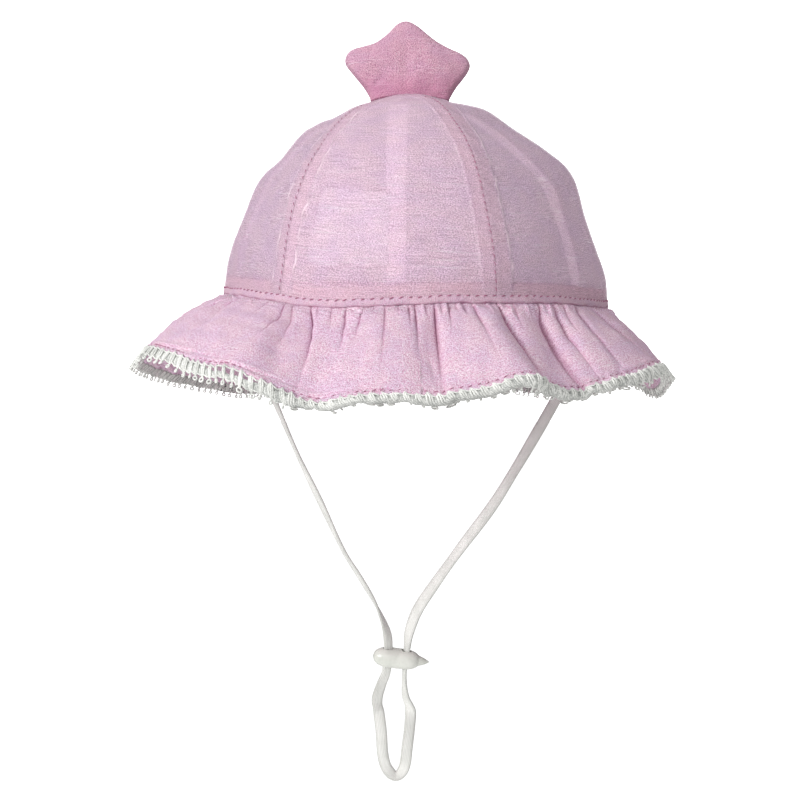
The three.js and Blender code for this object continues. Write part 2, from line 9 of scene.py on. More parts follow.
import bpy
import numpy as np
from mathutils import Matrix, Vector


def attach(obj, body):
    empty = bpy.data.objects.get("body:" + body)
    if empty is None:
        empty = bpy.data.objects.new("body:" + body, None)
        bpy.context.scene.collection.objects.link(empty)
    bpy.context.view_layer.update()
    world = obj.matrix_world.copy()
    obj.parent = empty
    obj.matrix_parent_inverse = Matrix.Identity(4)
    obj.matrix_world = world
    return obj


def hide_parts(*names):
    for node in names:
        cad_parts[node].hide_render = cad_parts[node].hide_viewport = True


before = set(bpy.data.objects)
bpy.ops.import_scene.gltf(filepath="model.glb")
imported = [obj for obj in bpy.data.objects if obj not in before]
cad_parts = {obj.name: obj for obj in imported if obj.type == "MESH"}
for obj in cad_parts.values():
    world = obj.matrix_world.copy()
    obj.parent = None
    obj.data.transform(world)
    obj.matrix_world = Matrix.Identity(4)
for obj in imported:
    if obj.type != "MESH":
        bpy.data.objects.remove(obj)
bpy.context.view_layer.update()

MM = 0.001
BODY = "root"

# ------------------------ sizes shared with the CAD
HALF_WIDTH = 72.4
HALF_LENGTH = 84.0
CROWN_HEIGHT = 75.8
APEX_SHIFT = -2.2
PANEL_FLATTENING = 0.022

CROWN_PROFILE = [  # height, share of the width at the seam
    (0, 1), (7, 0.985), (14, 0.966), (21, 0.942), (28, 0.905), (38, 0.843), (46, 0.78),
    (54, 0.684), (61.5, 0.556), (66, 0.468), (69.5, 0.378), (73, 0.245), (75, 0.135), (75.8, 0.0),
]

PANELS = [  # name, first seam, last seam
    ("crown_front", -37.3, 20.7),
    ("crown_right", 20.7, 111),
    ("crown_back_right", 111, 184),
    ("crown_back_left", 184, 263),
    ("crown_left", 263, 322.7),
]

SEAMS = [  # azimuth, allowance towards the viewer's left and right when seen from outside, mm
    (-37.3, 4.6, 4.6),
    (20.7, 4.9, 5.4),
    (111, 4.4, 4.4),
    (184, 0.6, 8.6),
    (263, 3.6, 3.6),
]

BACK_SEAM = 3  # its row in SEAMS

ALLOWANCE_EDGES = [  # for each seam, the ridges over its allowances' edges, mm, and how strongly the pale lines painted along them show, partly a painted highlight
    (0.11, 0.09, 1.0, 1.0),
    (0.07, 0.26, 0.6, 1.0),
    (0.1, 0.1, 0.8, 0.8),
    (0.0, 0.05, 0.0, 0.3),
    (0.1, 0.1, 0.9, 0.8),
]

CROWN_LUMPS = [  # azimuth, height, reach, spread across in degrees, spread up in mm
    (80, 45, 3.2, 26, 9.5),
    (78, 69, 1.0, 30, 4),
    (-80, 62, 0.6, 30, 4),
    (-84, 53, -1.1, 26, 5),
    (96, 20, -0.8, 20, 8),
    (-10, 34, -0.9, 16, 14),
    (150, 30, -1.4, 18, 16),
    (-80, 69, -1.3, 34, 4),
    (80, 73.5, -1.0, 50, 2.5),
    (-80, 73.5, -0.8, 50, 2.5),
]

SEAM_LINE = [  # azimuth, rise
    (-180, 0.4), (-130, 1.8), (-90, 2.8), (-64, 2.6), (-40, 0.8), (-27, -1.1), (-14, -0.9),
    (6, 0.2), (35, 0), (64, -1.9), (90, -2.2), (130, -1),
]

BRIM_EDGE = [  # azimuth, out, height, bulge
    (-180, 16, -37.5, 5), (-165, 13, -38.5, 5), (-150, 17, -36.5, 5), (-135, 12, -38.5, 5),
    (-120, 15, -37.5, 6), (-110, 20, -34, 4), (-100, 27, -30, 4), (-90, 30.5, -25.5, 3.8),
    (-80, 31, -21.5, 3.8), (-70, 28.5, -18.5, 3.8), (-60, 30.5, -16, 3.8), (-50, 34, -14.6, 2.4),
    (-42, 32.4, -17, 2.4), (-35, 33, -18.9, 2.4), (-29, 33.5, -19.4, 2.4), (-23, 31, -23.4, 1.6),
    (-17, 27, -28.8, 1.6), (-11, 28.5, -26.5, 1.6), (-4, 29.5, -25.5, 1.6), (4, 30, -25.2, 1.6),
    (11, 32, -23.2, 1.6), (17, 34.5, -19.8, 1.6), (23, 31.5, -23.5, 1.6), (30, 31.5, -23.8, 1.6),
    (38, 32, -21.3, 1.6), (46, 30, -19.9, 1.6), (54, 26.5, -20.6, 2), (62, 22.6, -22.5, 2),
    (71, 20.4, -25.5, 2), (81, 20.2, -29, 2), (91, 21.8, -33, 2), (101, 24.5, -36, 3),
    (115, 26, -33.5, 3), (128, 18, -37, 5), (142, 13.5, -39.8, 5), (160, 18, -37, 5),
]

BRIM_FOLDS = [  # azimuth, lean, depth, spread across in degrees
    (-27.5, 4, 2.4, 3.2), (-12, 1, 1.2, 2.6), (3.6, -0.5, 1.8, 2.6), (21, -2, 1.8, 2.6),
    (33, -8, 2.0, 3.2), (50, 3, 1.4, 4), (74, 4, 1.8, 4), (108, 0, 2.2, 4), (135, 2, 2.4, 4),
    (168, 0, 2.4, 4), (-170, 2, 2.0, 4), (-143, 2, 2.4, 4), (-112, 0, 2.0, 4),
    (-76, 2, 1.6, 4), (-52, 2, 1.2, 4),
]

STAR_OUTLINE = [  # x, height
    (12.4, 75.0), (14.4, 78.4), (17.2, 81.8), (19.4, 84.8), (20.3, 87.4), (19.2, 89.8),
    (16.6, 91.7), (12.4, 93.5), (8.1, 95.8), (4.1, 98.8), (0.4, 101.7), (-3.5, 103.4),
    (-7.1, 102.3), (-10.5, 98.9), (-15.2, 95.6), (-19.8, 94.3), (-24.0, 93.1), (-26.3, 90.8),
    (-26.4, 87.9), (-24.2, 84.9), (-21.4, 81.6), (-18.8, 78.4), (-17.0, 75.4),
]

STRAP_SEAT = 68.55  # where the strap is sewn in, to either side of the middle
STRAP_ROUTE = [  # x, height, in metres; the route lies in the plane y = 0
    (-STRAP_SEAT * MM, 0.0024), (-STRAP_SEAT * MM, -0.0040), (-0.0664, -0.013),
    (-0.0602, -0.027), (-0.0542, -0.0405), (-0.0458, -0.0605), (-0.0374, -0.0787),
    (-0.0281, -0.0987), (-0.0224, -0.1082), (-0.0162, -0.119), (-0.0117, -0.1295),
    (-0.0106, -0.1365), (-0.0114, -0.1475), (-0.0134, -0.153), (-0.0151, -0.159),
    (-0.0144, -0.165), (-0.0135, -0.173), (-0.0129, -0.182), (-0.0112, -0.188),
    (-0.0076, -0.1911), (-0.0044, -0.1876), (-0.0031, -0.179), (-0.0020, -0.170),
    (-0.0019, -0.1635), (-0.0039, -0.1575), (-0.0042, -0.1482), (-0.0032, -0.1375),
    (-0.0024, -0.1314), (0.0010, -0.1223), (0.0076, -0.112), (0.0184, -0.0966),
    (0.0301, -0.0805), (0.0393, -0.0654), (0.0465, -0.0528), (0.0544, -0.0384),
    (0.0610, -0.0255), (0.0662, -0.0145), (STRAP_SEAT * MM, -0.0080), (STRAP_SEAT * MM, -0.0026),
]

# ------------------------ camera
CAMERA_PLACE = Vector((0, -0.418, 0.005))  # metres
CAMERA_DOWN = math.radians(5.987)
CAMERA_LEFT = math.radians(0.82)
CAMERA_SENSOR = 36  # width, mm
CAMERA_LENS = 48.74  # mm


def placed(name, data):
    """A new object in the scene."""
    thing = bpy.data.objects.new(name, data)
    bpy.context.collection.objects.link(thing)
    return thing


def aim(thing, way):
    """Turns a camera or lamp, which looks along its own -Z, to look along way."""
    thing.rotation_euler = way.to_track_quat("-Z", "Y").to_euler()


def add_camera():
    data = bpy.data.cameras.new("camera")
    data.sensor_width = CAMERA_SENSOR
    data.lens = CAMERA_LENS
    camera = placed("camera", data)
    camera.location = CAMERA_PLACE
    level = math.cos(CAMERA_DOWN)
    aim(camera, Vector((-math.sin(CAMERA_LEFT) * level, math.cos(CAMERA_LEFT) * level,
                        -math.sin(CAMERA_DOWN))))
    bpy.context.scene.camera = camera


add_camera()


# ------------------------ curves and tables
def smoothstep(low, high, value):
    """0 below low and 1 above high, or the other way round where low is the larger."""
    t = np.clip((value - low) / (high - low), 0, 1)
    return t * t * (3 - 2 * t)


def bell(distance, width):
    """1 at no distance, falling to 0 on both sides."""
    return np.exp(-((distance / width) ** 2))


def turn_between(a, b):
    """The turn from azimuth b to azimuth a, from -180 to 180."""
    return (a - b + 180) % 360 - 180


def unit(vectors):
    """Vectors made 1 long."""
    return vectors / np.maximum(np.linalg.norm(vectors, axis=-1, keepdims=True), 1e-9)


def circle(sides, shift=0.0):
    """Angles of a ring's corners, in radians."""
    return (np.arange(sides) + shift) / sides * math.tau


def azimuths_round(count):
    """Evenly spaced azimuths, as a column."""
    return (np.arange(count) / count * 360 - 180)[:, None]


def hermite(before, start, end, after, turn):
    """One cubic piece between the two middle knots, each knot being (turn, value)."""
    span = end[0] - start[0]
    t = (turn - start[0]) / span
    start_slope = (end[1] - before[1]) / (end[0] - before[0]) * span
    end_slope = (after[1] - start[1]) / (after[0] - start[0]) * span
    t2 = t * t
    t3 = t2 * t
    return (start[1] * (2 * t3 - 3 * t2 + 1) + start_slope * (t3 - 2 * t2 + t)
            + end[1] * (3 * t2 - 2 * t3) + end_slope * (t3 - t2))


def around_table(rows, column):
    """A smooth curve through one column of a table of azimuths, closed on itself."""
    turns = np.array([row[0] for row in rows], float)
    values = np.array([row[column] for row in rows], float)
    count = len(rows)

    def read(azimuth):
        turn = (np.asarray(azimuth, float) - turns[0]) % 360 + turns[0]
        index = np.searchsorted(turns, turn, side="right") - 1

        def knot(step):
            place = (index + step) % count
            return turns[place] + 360 * ((index + step) // count), values[place]

        return hermite(knot(-1), knot(0), knot(1), knot(2), turn)

    return read


def along_rows(knots, values):
    """A smooth open curve through values (n, k) at knots (n,)."""
    knots = np.asarray(knots, float)
    values = np.asarray(values, float)
    knots = np.concatenate([[2 * knots[0] - knots[1]], knots, [2 * knots[-1] - knots[-2]]])
    values = np.vstack([2 * values[0] - values[1], values, 2 * values[-1] - values[-2]])

    def read(at):
        at = np.atleast_1d(np.asarray(at, float))
        index = np.clip(np.searchsorted(knots, at, side="right") - 1, 1, len(knots) - 3)
        pick = [(knots[index + step][:, None], values[index + step]) for step in (-1, 0, 1, 2)]
        return hermite(*pick, at[:, None])

    return read


def running_total(steps):
    """0 and the sums of the steps up to each of them."""
    return np.concatenate([[0], np.cumsum(steps)])


def chord_lengths(points):
    """Length along a line of points, at each of them."""
    return running_total(np.linalg.norm(np.diff(points, axis=0), axis=1))


def curve_knots(rows):
    """Knots that keep a curve through uneven rows free of loops: square roots of the steps."""
    return running_total(np.sqrt(np.linalg.norm(np.diff(rows, axis=0), axis=1)))


def resampled(marks, along, rows):
    """Rows (n, k) at distances along, read at other distances."""
    return np.stack([np.interp(marks, along, column) for column in np.transpose(rows)], -1)


def wavy(count, low, high, seed):
    """A sum of sines of two variables, about -1 to 1, with wavelengths from low to high mm."""
    local = np.random.default_rng(seed)
    angles = local.uniform(0, math.pi, count)
    lengths = local.uniform(low, high, count)
    phases = local.uniform(0, math.tau, count)

    def read(x, y):
        total = np.zeros(np.broadcast(x, y).shape)
        for angle, length, phase in zip(angles, lengths, phases):
            run = x * math.cos(angle) + y * math.sin(angle)
            total += np.sin(math.tau * run / length + phase)
        return total / math.sqrt(count)

    return read


# ------------------------ meshes
def as_piece(name, mesh, material, replaces=None):
    """A mesh as a piece that rides on the hat; replaces is the CAD piece that it stands for."""
    mesh.materials.append(material)
    mesh.polygons.foreach_set("use_smooth", [True] * len(mesh.polygons))
    piece = placed(name, mesh)
    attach(piece, BODY)
    if replaces:
        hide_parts(replaces)
    return piece


def new_piece(name, verts, faces, material, slot, uv=None, marks=None, replaces=None):
    """A piece from arrays: verts in mm; faces an (n, 3) or (n, 4) array, or a list of such; uv one
    (u, v) per face corner, in mm; marks one number per vertex."""
    faces = faces if isinstance(faces, list) else [faces]
    mesh = bpy.data.meshes.new(name)
    mesh.vertices.add(len(verts))
    mesh.vertices.foreach_set("co", (np.asarray(verts, float) * MM).ravel())
    loops = np.concatenate([f.ravel() for f in faces])
    sizes = np.concatenate([np.full(len(f), f.shape[1]) for f in faces])
    mesh.loops.add(len(loops))
    mesh.loops.foreach_set("vertex_index", loops.astype(np.int32))
    mesh.polygons.add(len(sizes))
    mesh.polygons.foreach_set("loop_start", running_total(sizes)[:-1].astype(np.int32))
    mesh.polygons.foreach_set("loop_total", sizes.astype(np.int32))
    if uv is not None:
        layer = mesh.uv_layers.new(name="cloth")
        layer.data.foreach_set("uv", np.asarray(uv, np.float32).ravel())
    if marks is not None:
        layer = mesh.attributes.new("marks", "FLOAT", "POINT")
        layer.data.foreach_set("value", np.asarray(marks, np.float32).ravel())
    mesh.update(calc_edges=True)
    mesh.validate()
    return as_piece(name, mesh, material, replaces)


def plain_mesh(name, verts, faces):
    """A mesh object from verts in mm that rides on nothing: a cutter or a shape to work on."""
    mesh = bpy.data.meshes.new(name)
    mesh.from_pydata((np.asarray(verts) * MM).tolist(), [], faces)
    mesh.update()
    return placed(name, mesh)


def at_corners(rows, faces):
    """Rows (n, k), one per vertex, given once for each face corner."""
    return np.concatenate([rows[f.ravel()] for f in faces])


def ring_quads(rings, sides, closed=False):
    """Quads between rings of vertices; closed joins the last ring to the first."""
    i = np.arange(rings if closed else rings - 1)[:, None]
    s = np.arange(sides)[None, :]
    k, t = (i + 1) % rings, (s + 1) % sides
    quads = [i * sides + s, i * sides + t, k * sides + t, k * sides + s]
    return np.stack(quads, -1).reshape(-1, 4)


def end_fans(rings, sides):
    """Triangles that close the first and last ring, each to a vertex of its own after them all."""
    s = np.arange(sides)
    t = (s + 1) % sides
    tip, base = rings * sides, (rings - 1) * sides
    return np.concatenate([np.stack([np.full(sides, tip), t, s], -1),
                           np.stack([np.full(sides, tip + 1), base + s, base + t], -1)])


def steps_along(points, closed):
    """Differences along the first axis, centred on each point."""
    if closed:
        return np.roll(points, -1, 0) - np.roll(points, 1, 0)
    return np.gradient(points, axis=0)


def grid_normals(points, ring):
    """Unit normals of a grid of points (columns, rows, 3)."""
    return unit(np.cross(steps_along(points, ring), np.gradient(points, axis=1)))


def cloth_shell(points, thickness, ring, u, v):
    """A closed wall of cloth from its outer face. points is (columns, rows, 3); u and v are the
    cloth's own millimetres at the grid's points, and have one more column when it is a ring.
    Gives verts, faces and uv."""
    columns, rows = points.shape[:2]
    inner = points - grid_normals(points, ring) * thickness
    verts = np.concatenate([points.reshape(-1, 3), inner.reshape(-1, 3)])
    faces, uvs = [], []

    def add(places, layers, flip):
        """Quads through grid places (column, row), on the outer (0) or the inner (1) face."""
        quads = [x % columns * rows + y + layer * columns * rows
                 for (x, y), layer in zip(places, layers)]
        corner_uv = [np.stack([u[x, y], v[x, y]], -1) for x, y in places]
        order = -1 if flip else 1
        faces.append(np.stack(quads, -1).reshape(-1, 4)[:, ::order])
        uvs.append(np.stack(corner_uv, -2).reshape(-1, 4, 2)[:, ::order])

    i = np.arange(columns if ring else columns - 1)
    j = np.arange(rows - 1)
    x, y = i[:, None], j[None, :]
    for layer in (0, 1):
        add([(x, y), (x + 1, y), (x + 1, y + 1), (x, y + 1)], [layer] * 4, flip=layer == 1)
    edges = [((i, 0), (i + 1, 0), False), ((i, rows - 1), (i + 1, rows - 1), True)]
    if not ring:
        last = columns - 1
        edges += [((0, j), (0, j + 1), True), ((last, j), (last, j + 1), False)]
    for start, end, flip in edges:
        add([start, start, end, end], (0, 1, 1, 0), flip)
    return verts, np.concatenate(faces), np.concatenate(uvs)


def tube(points, radii, sides, closed=False, across=None):
    """Verts and faces of a round tube along points (n, 3), with capped ends unless closed. across
    holds a direction for each point that the tube never runs along."""
    count = len(points)
    tangent = unit(steps_along(points, closed))
    if across is None:
        upright = abs(tangent[count // 2, 2]) > 0.8
        across = np.tile([1.0, 0, 0] if upright else [0, 0, 1.0], (count, 1))
    side = unit(np.cross(tangent, across))
    up = np.cross(side, tangent)
    radii = np.broadcast_to(np.asarray(radii, float), (count,))
    turn = circle(sides)[None, :, None]
    ring = side[:, None] * np.cos(turn) + up[:, None] * np.sin(turn)
    verts = (points[:, None] + ring * radii[:, None, None]).reshape(-1, 3)
    faces = [ring_quads(count, sides, closed)[:, ::-1]]
    if not closed:
        verts = np.vstack([verts, points[0], points[-1]])
        faces.append(end_fans(count, sides)[:, ::-1])
    return verts, faces


class Parts:
    """Gathers verts and faces of many small bodies into one mesh."""

    def __init__(self):
        self.verts, self.quads, self.tris, self.count = [], [], [], 0

    def add(self, verts, faces):
        for face in faces if isinstance(faces, list) else [faces]:
            (self.quads if face.shape[1] == 4 else self.tris).append(face + self.count)
        self.verts.append(verts)
        self.count += len(verts)

    def add_tubes(self, points, normals, radii, sides, closed=False):
        """One tube for each line of points (lines, n, 3)."""
        for line, normal in zip(points, normals):
            self.add(*tube(line, radii, sides, closed, across=normal))

    def arrays(self):
        faces = [np.concatenate(f) for f in (self.quads, self.tris) if f]
        return np.vstack(self.verts), faces


# ------------------------ surfaces of the hat
seam_rise = around_table(SEAM_LINE, 1)
edge_out = around_table(BRIM_EDGE, 1)
edge_height = around_table(BRIM_EDGE, 2)
edge_bulge = around_table(BRIM_EDGE, 3)

profile_rows = np.array([(share, height / CROWN_HEIGHT) for height, share in CROWN_PROFILE])
profile_knots = curve_knots(profile_rows)
read_profile = along_rows(profile_knots, profile_rows)


def crown_profile(climb):
    """Share of the full width, and height as a share of the crown's, at a climb from 0 to 1."""
    place = np.clip(climb, 0, 1) * (len(profile_rows) - 1)
    knot = np.interp(place, np.arange(len(profile_rows)), profile_knots)
    rows = read_profile(knot.ravel()).reshape(np.shape(knot) + (2,))
    return np.maximum(rows[..., 0], 0), rows[..., 1]


def outward(azimuth):
    """The level direction away from the seam's oval."""
    turn = np.radians(azimuth)
    return unit(np.stack([np.sin(turn) / HALF_WIDTH, -np.cos(turn) / HALF_LENGTH, 0 * turn], -1))


def seam_point(azimuth, offset, rise):
    """A point of the oval at the seam, moved out by offset and up by rise from the seam line."""
    turn = np.radians(azimuth)
    point = np.stack([HALF_WIDTH * np.sin(turn), -HALF_LENGTH * np.cos(turn),
                      seam_rise(azimuth) + rise], -1)
    return point + outward(azimuth) * np.asarray(offset)[..., None]


def degree_length(azimuth):
    """Millimetres along the seam's oval for one degree."""
    turn = np.radians(azimuth)
    return math.radians(1) * np.hypot(HALF_WIDTH * np.cos(turn), HALF_LENGTH * np.sin(turn))


def mid_panel(azimuth):
    """0 at a seam and 1 in the middle of a panel."""
    result = np.zeros(np.shape(azimuth))
    for _, first, last in PANELS:
        along = ((azimuth - first) % 360) / (last - first)
        result = np.where(along <= 1, np.sin(math.pi * along), result)
    return result


def dome(azimuth, climb):
    """The smooth dome that the CAD panels follow."""
    share, height = crown_profile(climb)
    share = share * (1 - PANEL_FLATTENING * mid_panel(azimuth) * smoothstep(0.1, 0.6, climb))
    turn = np.radians(azimuth)
    point = np.stack([
        HALF_WIDTH * share * np.sin(turn) + APEX_SHIFT * height ** 2,
        -HALF_LENGTH * share * np.cos(turn),
        height * CROWN_HEIGHT + seam_rise(azimuth) * np.maximum(1 - height, 0) ** 1.5,
    ], -1)
    normal = outward(azimuth) * (1 - height)[..., None]
    normal[..., 2] = height
    normal = unit(normal)
    for place, level, reach, across, up in CROWN_LUMPS:
        lump = reach * bell(turn_between(azimuth, place), across)
        lump = lump * bell(height * CROWN_HEIGHT - level, up)
        point += normal * lump[..., None]
    return point


def with_normal(surface, u, v, step_u, step_v):
    """Points of surface(u, v) and its unit normals, from steps to both sides."""
    along = surface(u + step_u, v) - surface(u - step_u, v)
    up = surface(u, v + step_v) - surface(u, v - step_v)
    return surface(u, v), unit(np.cross(along, up))


SEAM_PITCH = 2.6
SEAM_STITCHED = (2.6, 0.22)  # from this far above the brim, mm, to this share of the width
SEAM_SINK = 0.17  # the stitches sink into the cloth by this much higher up, mm
# Heights of the crown's relief, mm
CROWN_SAG = 0.42
CROWN_RIPPLE = 0.08
SEAM_GROOVE = 0.13
SEAM_PUFF = 0.15  # beside the seam, between two stitches
SEAM_PUCKER = 0.09
PUCKER_LENGTHS = (3.4, 5.3, 8.9)
ALLOWANCE_LIFT = 0.24
EDGE_KINK = 0.28  # how far an allowance's edge wanders sideways, mm
LEAST_SHARE = 0.02  # keeps widths from vanishing at the very top
crown_sag = wavy(6, 26, 62, seed=11)
crown_ripple = wavy(6, 9, 17, seed=12)
edge_breaks = wavy(6, 2.4, 9, seed=14)
edge_kinks = wavy(5, 2.8, 7, seed=15)
pucker_phase = np.random.default_rng(13).uniform(0, math.tau, (len(SEAMS), 3))


def seam_tables():
    """For each seam its climbs, how many stitches lie before each, and how many it has."""
    climbs = np.linspace(0, 1, 1200)
    share = crown_profile(climbs)[0]
    low, top_share = SEAM_STITCHED
    tables = []
    for line, _, _ in SEAMS:
        along = chord_lengths(dome(np.full_like(climbs, line), climbs))
        stitched = along[np.argmax(share < top_share)] - low
        count = int(stitched // SEAM_PITCH)
        tables.append((climbs, (along - low) / stitched * count, count))
    return tables


seam_table = seam_tables()


def near_seams(azimuth, climb):
    """Share of the full width, height over the brim's seam in mm, and for each seam how far across
    it the points lie, in mm, and how far its allowance reaches on their side."""
    share, height = crown_profile(climb)
    degree = degree_length(azimuth) * np.maximum(share, LEAST_SHARE)
    seams = []
    for line, before, after in SEAMS:
        offset = turn_between(azimuth, line) * degree
        seams.append((offset, np.where(offset < 0, before, after)))
    return share, height * CROWN_HEIGHT, seams


def kinked_edge(seam, level, offset):
    """How far an allowance's edge wanders from its straight line."""
    return EDGE_KINK * edge_kinks(level + 40 * seam, np.sign(offset) * 20)


def crown_relief(azimuth, climb):
    """Small relief of the cloth over the smooth dome: seams, the allowances pressed through from
    inside, puckers along the stitching and soft waves."""
    share, level, seams = near_seams(azimuth, climb)
    lying = smoothstep(0, 10, level) * smoothstep(0.03, 0.3, share)
    across = np.sin(np.radians(azimuth)) * HALF_WIDTH * share + 0.4 * level
    back = np.cos(np.radians(azimuth)) * HALF_LENGTH * share + 1.2 * level
    relief = CROWN_SAG * crown_sag(across, back) * lying
    relief += CROWN_RIPPLE * crown_ripple(across, back) * lying
    ends = smoothstep(1.5, 6, level) * smoothstep(0.02, 0.12, share)
    low = 1 - 0.7 * smoothstep(0.5, 0.2, share)
    for seam, (offset, reach) in enumerate(seams):
        away = np.abs(offset)
        relief += ALLOWANCE_LIFT * (1 - smoothstep(reach - 0.3, reach + 0.4, away)) * ends
        ridge = np.where(offset < 0, *ALLOWANCE_EDGES[seam][:2])
        relief += ridge * bell(away - reach - kinked_edge(seam, level, offset), 0.45) * ends
        between = 0.5 + 0.5 * np.cos(math.tau * np.interp(climb, *seam_table[seam][:2]))
        relief -= SEAM_GROOVE * (1 - 0.6 * between) * bell(offset, 0.4) * low
        relief += SEAM_PUFF * between * bell(away - 0.9, 0.7) * ends
        ripple = sum(
            np.sin(math.tau * level / length + phase + 0.5 * offset)
            for length, phase in zip(PUCKER_LENGTHS, pucker_phase[seam]))
        relief += SEAM_PUCKER * ripple * bell(away - 2.0, 2.4) * ends
    return relief


def allowance_edges(azimuth, climb):
    """Where the overlocked edges of the seam allowances press against the cloth, from 0 to 1:
    painted paler there, partly their thread showing through and partly a painted highlight on the
    ridge.
    """
    share, level, seams = near_seams(azimuth, climb)
    mark = np.zeros(np.shape(azimuth))
    for seam, (offset, reach) in enumerate(seams):
        shows = np.where(offset < 0, *ALLOWANCE_EDGES[seam][2:])
        broken = 0.74 + 0.28 * edge_breaks(level + 60 * seam, np.sign(offset) * 30)
        away = np.abs(offset) - reach - kinked_edge(seam, level, offset)
        mark = np.maximum(mark, 1.1 * shows * bell(away, 0.56) * np.clip(broken, 0.4, 1))
    return np.clip(mark * smoothstep(2, 7, level) * smoothstep(0.06, 0.16, share), 0, 1)


def doubled(azimuth, climb):
    """Where a seam allowance or the facing lies behind the cloth, from 0 to 1; the cloth is painted
    lighter and pinker there, partly the second layer's colour and partly painted light.
    """
    _, level, seams = near_seams(azimuth, climb)
    cover = 0.9 * (1 - smoothstep(5.2, 6.4, level)) + np.zeros(np.shape(azimuth))
    for offset, reach in seams:
        behind = 0.7 * (1 - smoothstep(reach - 0.3, reach + 0.3, np.abs(offset)))
        cover = np.maximum(cover, behind)
    return cover


def crown_surface(azimuth, climb, lift=0.0):
    """The crown's outer face with its relief, lifted along its normal."""
    point, normal = with_normal(dome, azimuth, climb, 0.4, 0.002)
    height = crown_relief(azimuth, climb) + lift
    return point + normal * height[..., None]


def climb_rows(step, top_share, low=0.0):
    """Climbs evenly spaced along the crown's section, and their distances from the seam in mm."""
    fine = np.linspace(low, 1, 1200)
    share, height = crown_profile(fine)
    mean_radius = (HALF_WIDTH + HALF_LENGTH) / 2
    along = chord_lengths(np.stack([share * mean_radius, height * CROWN_HEIGHT], -1))
    last = along[np.argmax(share < top_share)] if (share < top_share).any() else along[-1]
    count = int(round(last / step)) + 1
    marks = np.linspace(0, last, count)
    return np.interp(marks, along, fine), marks


def climb_at(level):
    """The climb at a height over the seam in mm."""
    fine = np.linspace(0, 1, 2000)
    return np.interp(level / CROWN_HEIGHT, crown_profile(fine)[1], fine)


FRONT_GATHERS = [  # azimuth, lean over the brim, depth, width, reach down the brim, fall beside it
    (-47, 4, 0.3, 0.7, 6, 0), (-41, 7, 0.4, 0.7, 8, -0.3), (-35.5, 13, 0.7, 0.7, 15, -0.5),
    (-32.8, 18, 0.6, 0.9, 13, -0.6), (-27.2, 19, 1.3, 0.5, 19, -1.7), (-25.1, 16, 0.5, 0.5, 5, 0),
    (-21.2, 12, 0.45, 0.6, 7, 0), (-17.4, 8, 0.9, 0.5, 13, -0.3), (-13, 1, 0.6, 0.6, 10, -0.3),
    (-10.2, 2, 0.35, 0.5, 3, 0), (-7.4, 4, 0.55, 0.45, 20, 0), (-4.2, 4, 0.35, 0.5, 3, 0),
    (-1.7, 4, 0.8, 0.5, 7, 0), (-0.2, 2.5, 1.0, 0.5, 14, 0.2), (2.4, 0.5, 0.4, 0.5, 3, 0),
    (4.6, -0.5, 1.3, 0.5, 26, -0.9), (6.2, -1, 0.4, 0.5, 3, 0), (8, -2, 0.9, 0.5, 7, -0.3),
    (9.8, -1, 0.4, 0.5, 3, 0), (11.6, -1, 0.45, 0.5, 3.5, 0), (14, -0.5, 0.7, 0.6, 16, -0.3),
    (17.5, 0, 0.5, 0.6, 4, 0), (20.6, 0, 1.7, 0.6, 38, 0), (23, -4, 0.4, 0.5, 3, 0),
    (25, -8, 0.5, 0.8, 9, 0), (29, -10, 0.35, 0.6, 3, 0), (32.6, -12, 1.0, 0.5, 36, -1.5),
    (35.2, -13, 0.35, 0.5, 3, 0), (37.7, -16, 0.7, 0.9, 26, -0.6), (41.1, -20, 0.7, 0.9, 13, 0),
    (46.1, -22, 0.9, 0.55, 24, -0.5), (49.5, -12, 0.4, 0.6, 5, 0), (53.5, -3, 0.9, 0.6, 21, -0.4),
    (57, -2, 0.5, 0.6, 7, 0),
]
GATHER_FRONT = (-50, 60)  # azimuths that those cover
GATHER_STEPS = (2.1, 4.4)  # degrees between two of the rest


def all_gathers():
    """The front's own creases, and seeded ones over the rest of the seam."""
    local = np.random.default_rng(21)
    rows = list(FRONT_GATHERS)
    azimuth = GATHER_FRONT[1]
    while azimuth < GATHER_FRONT[0] + 360:
        rows.append((azimuth, local.normal(0, 2.2), local.uniform(0.4, 1.2),
                     local.uniform(0.5, 0.8), local.choice([3, 4, 7, 10, 15, 22]),
                     local.normal(0, 0.4)))
        azimuth += local.uniform(*GATHER_STEPS)
    return np.array(rows)


GATHERS = all_gathers()
BRIM_CLOTH = 41.0  # width of the brim's cloth below the seam, mm
BRIM_BELOW_SEAM = 1.2  # its top below the seam line
BRIM_TUCK = 0.75  # how far inwards its gathered edge is tucked
BRIM_SPREAD = math.radians(0.75)  # mm by which one degree widens for each mm down the brim
HEM = 3.6
HEM_STITCH = 1.9  # the hem's stitching, above the cloth's edge
# Heights of the brim's relief, mm
GATHER_ROLL = 0.7  # the plump roll just below the welt
GATHER_CRINKLE = 0.55
BRIM_WAVE = 0.35
BRIM_CRINKLE = 0.09
HEM_LIFT = 0.22
HEM_RIDGE = 0.1
HEM_GROOVE = 0.26
HEM_RIPPLE = 0.26
BRIM_DENTS = [  # azimuth at its top and bottom, mm down the brim there, depth, width
    (-54, -46, 9.5, 24.5, 0.7, 1.8), (-32.5, -25, 4, 31, 1.0, 3.2), (36.7, 33.2, 5, 20, 0.9, 2.8),
    (2.7, 3.7, 26, 36, 0.5, 0.8), (-52, -38, 4, 30, -0.5, 3.5), (-62, -54, 12, 32, 0.5, 2.6),
]
brim_wave = wavy(5, 13, 30, seed=31)
gather_crinkle = wavy(7, 1.7, 4.5, seed=34)
brim_crinkle = wavy(6, 5, 10, seed=32)
hem_ripple = wavy(6, 2.6, 7, seed=33)


def arch(along):
    """The brim's rounded section, from the seam to the edge."""
    return 4 * along * (1 - along) * (1.15 - 0.3 * along)


def lean_share(along):
    """How much of its lean a gather has reached: it bends less and less down the brim."""
    return 0.45 * (1 - np.exp(-along / 0.45))


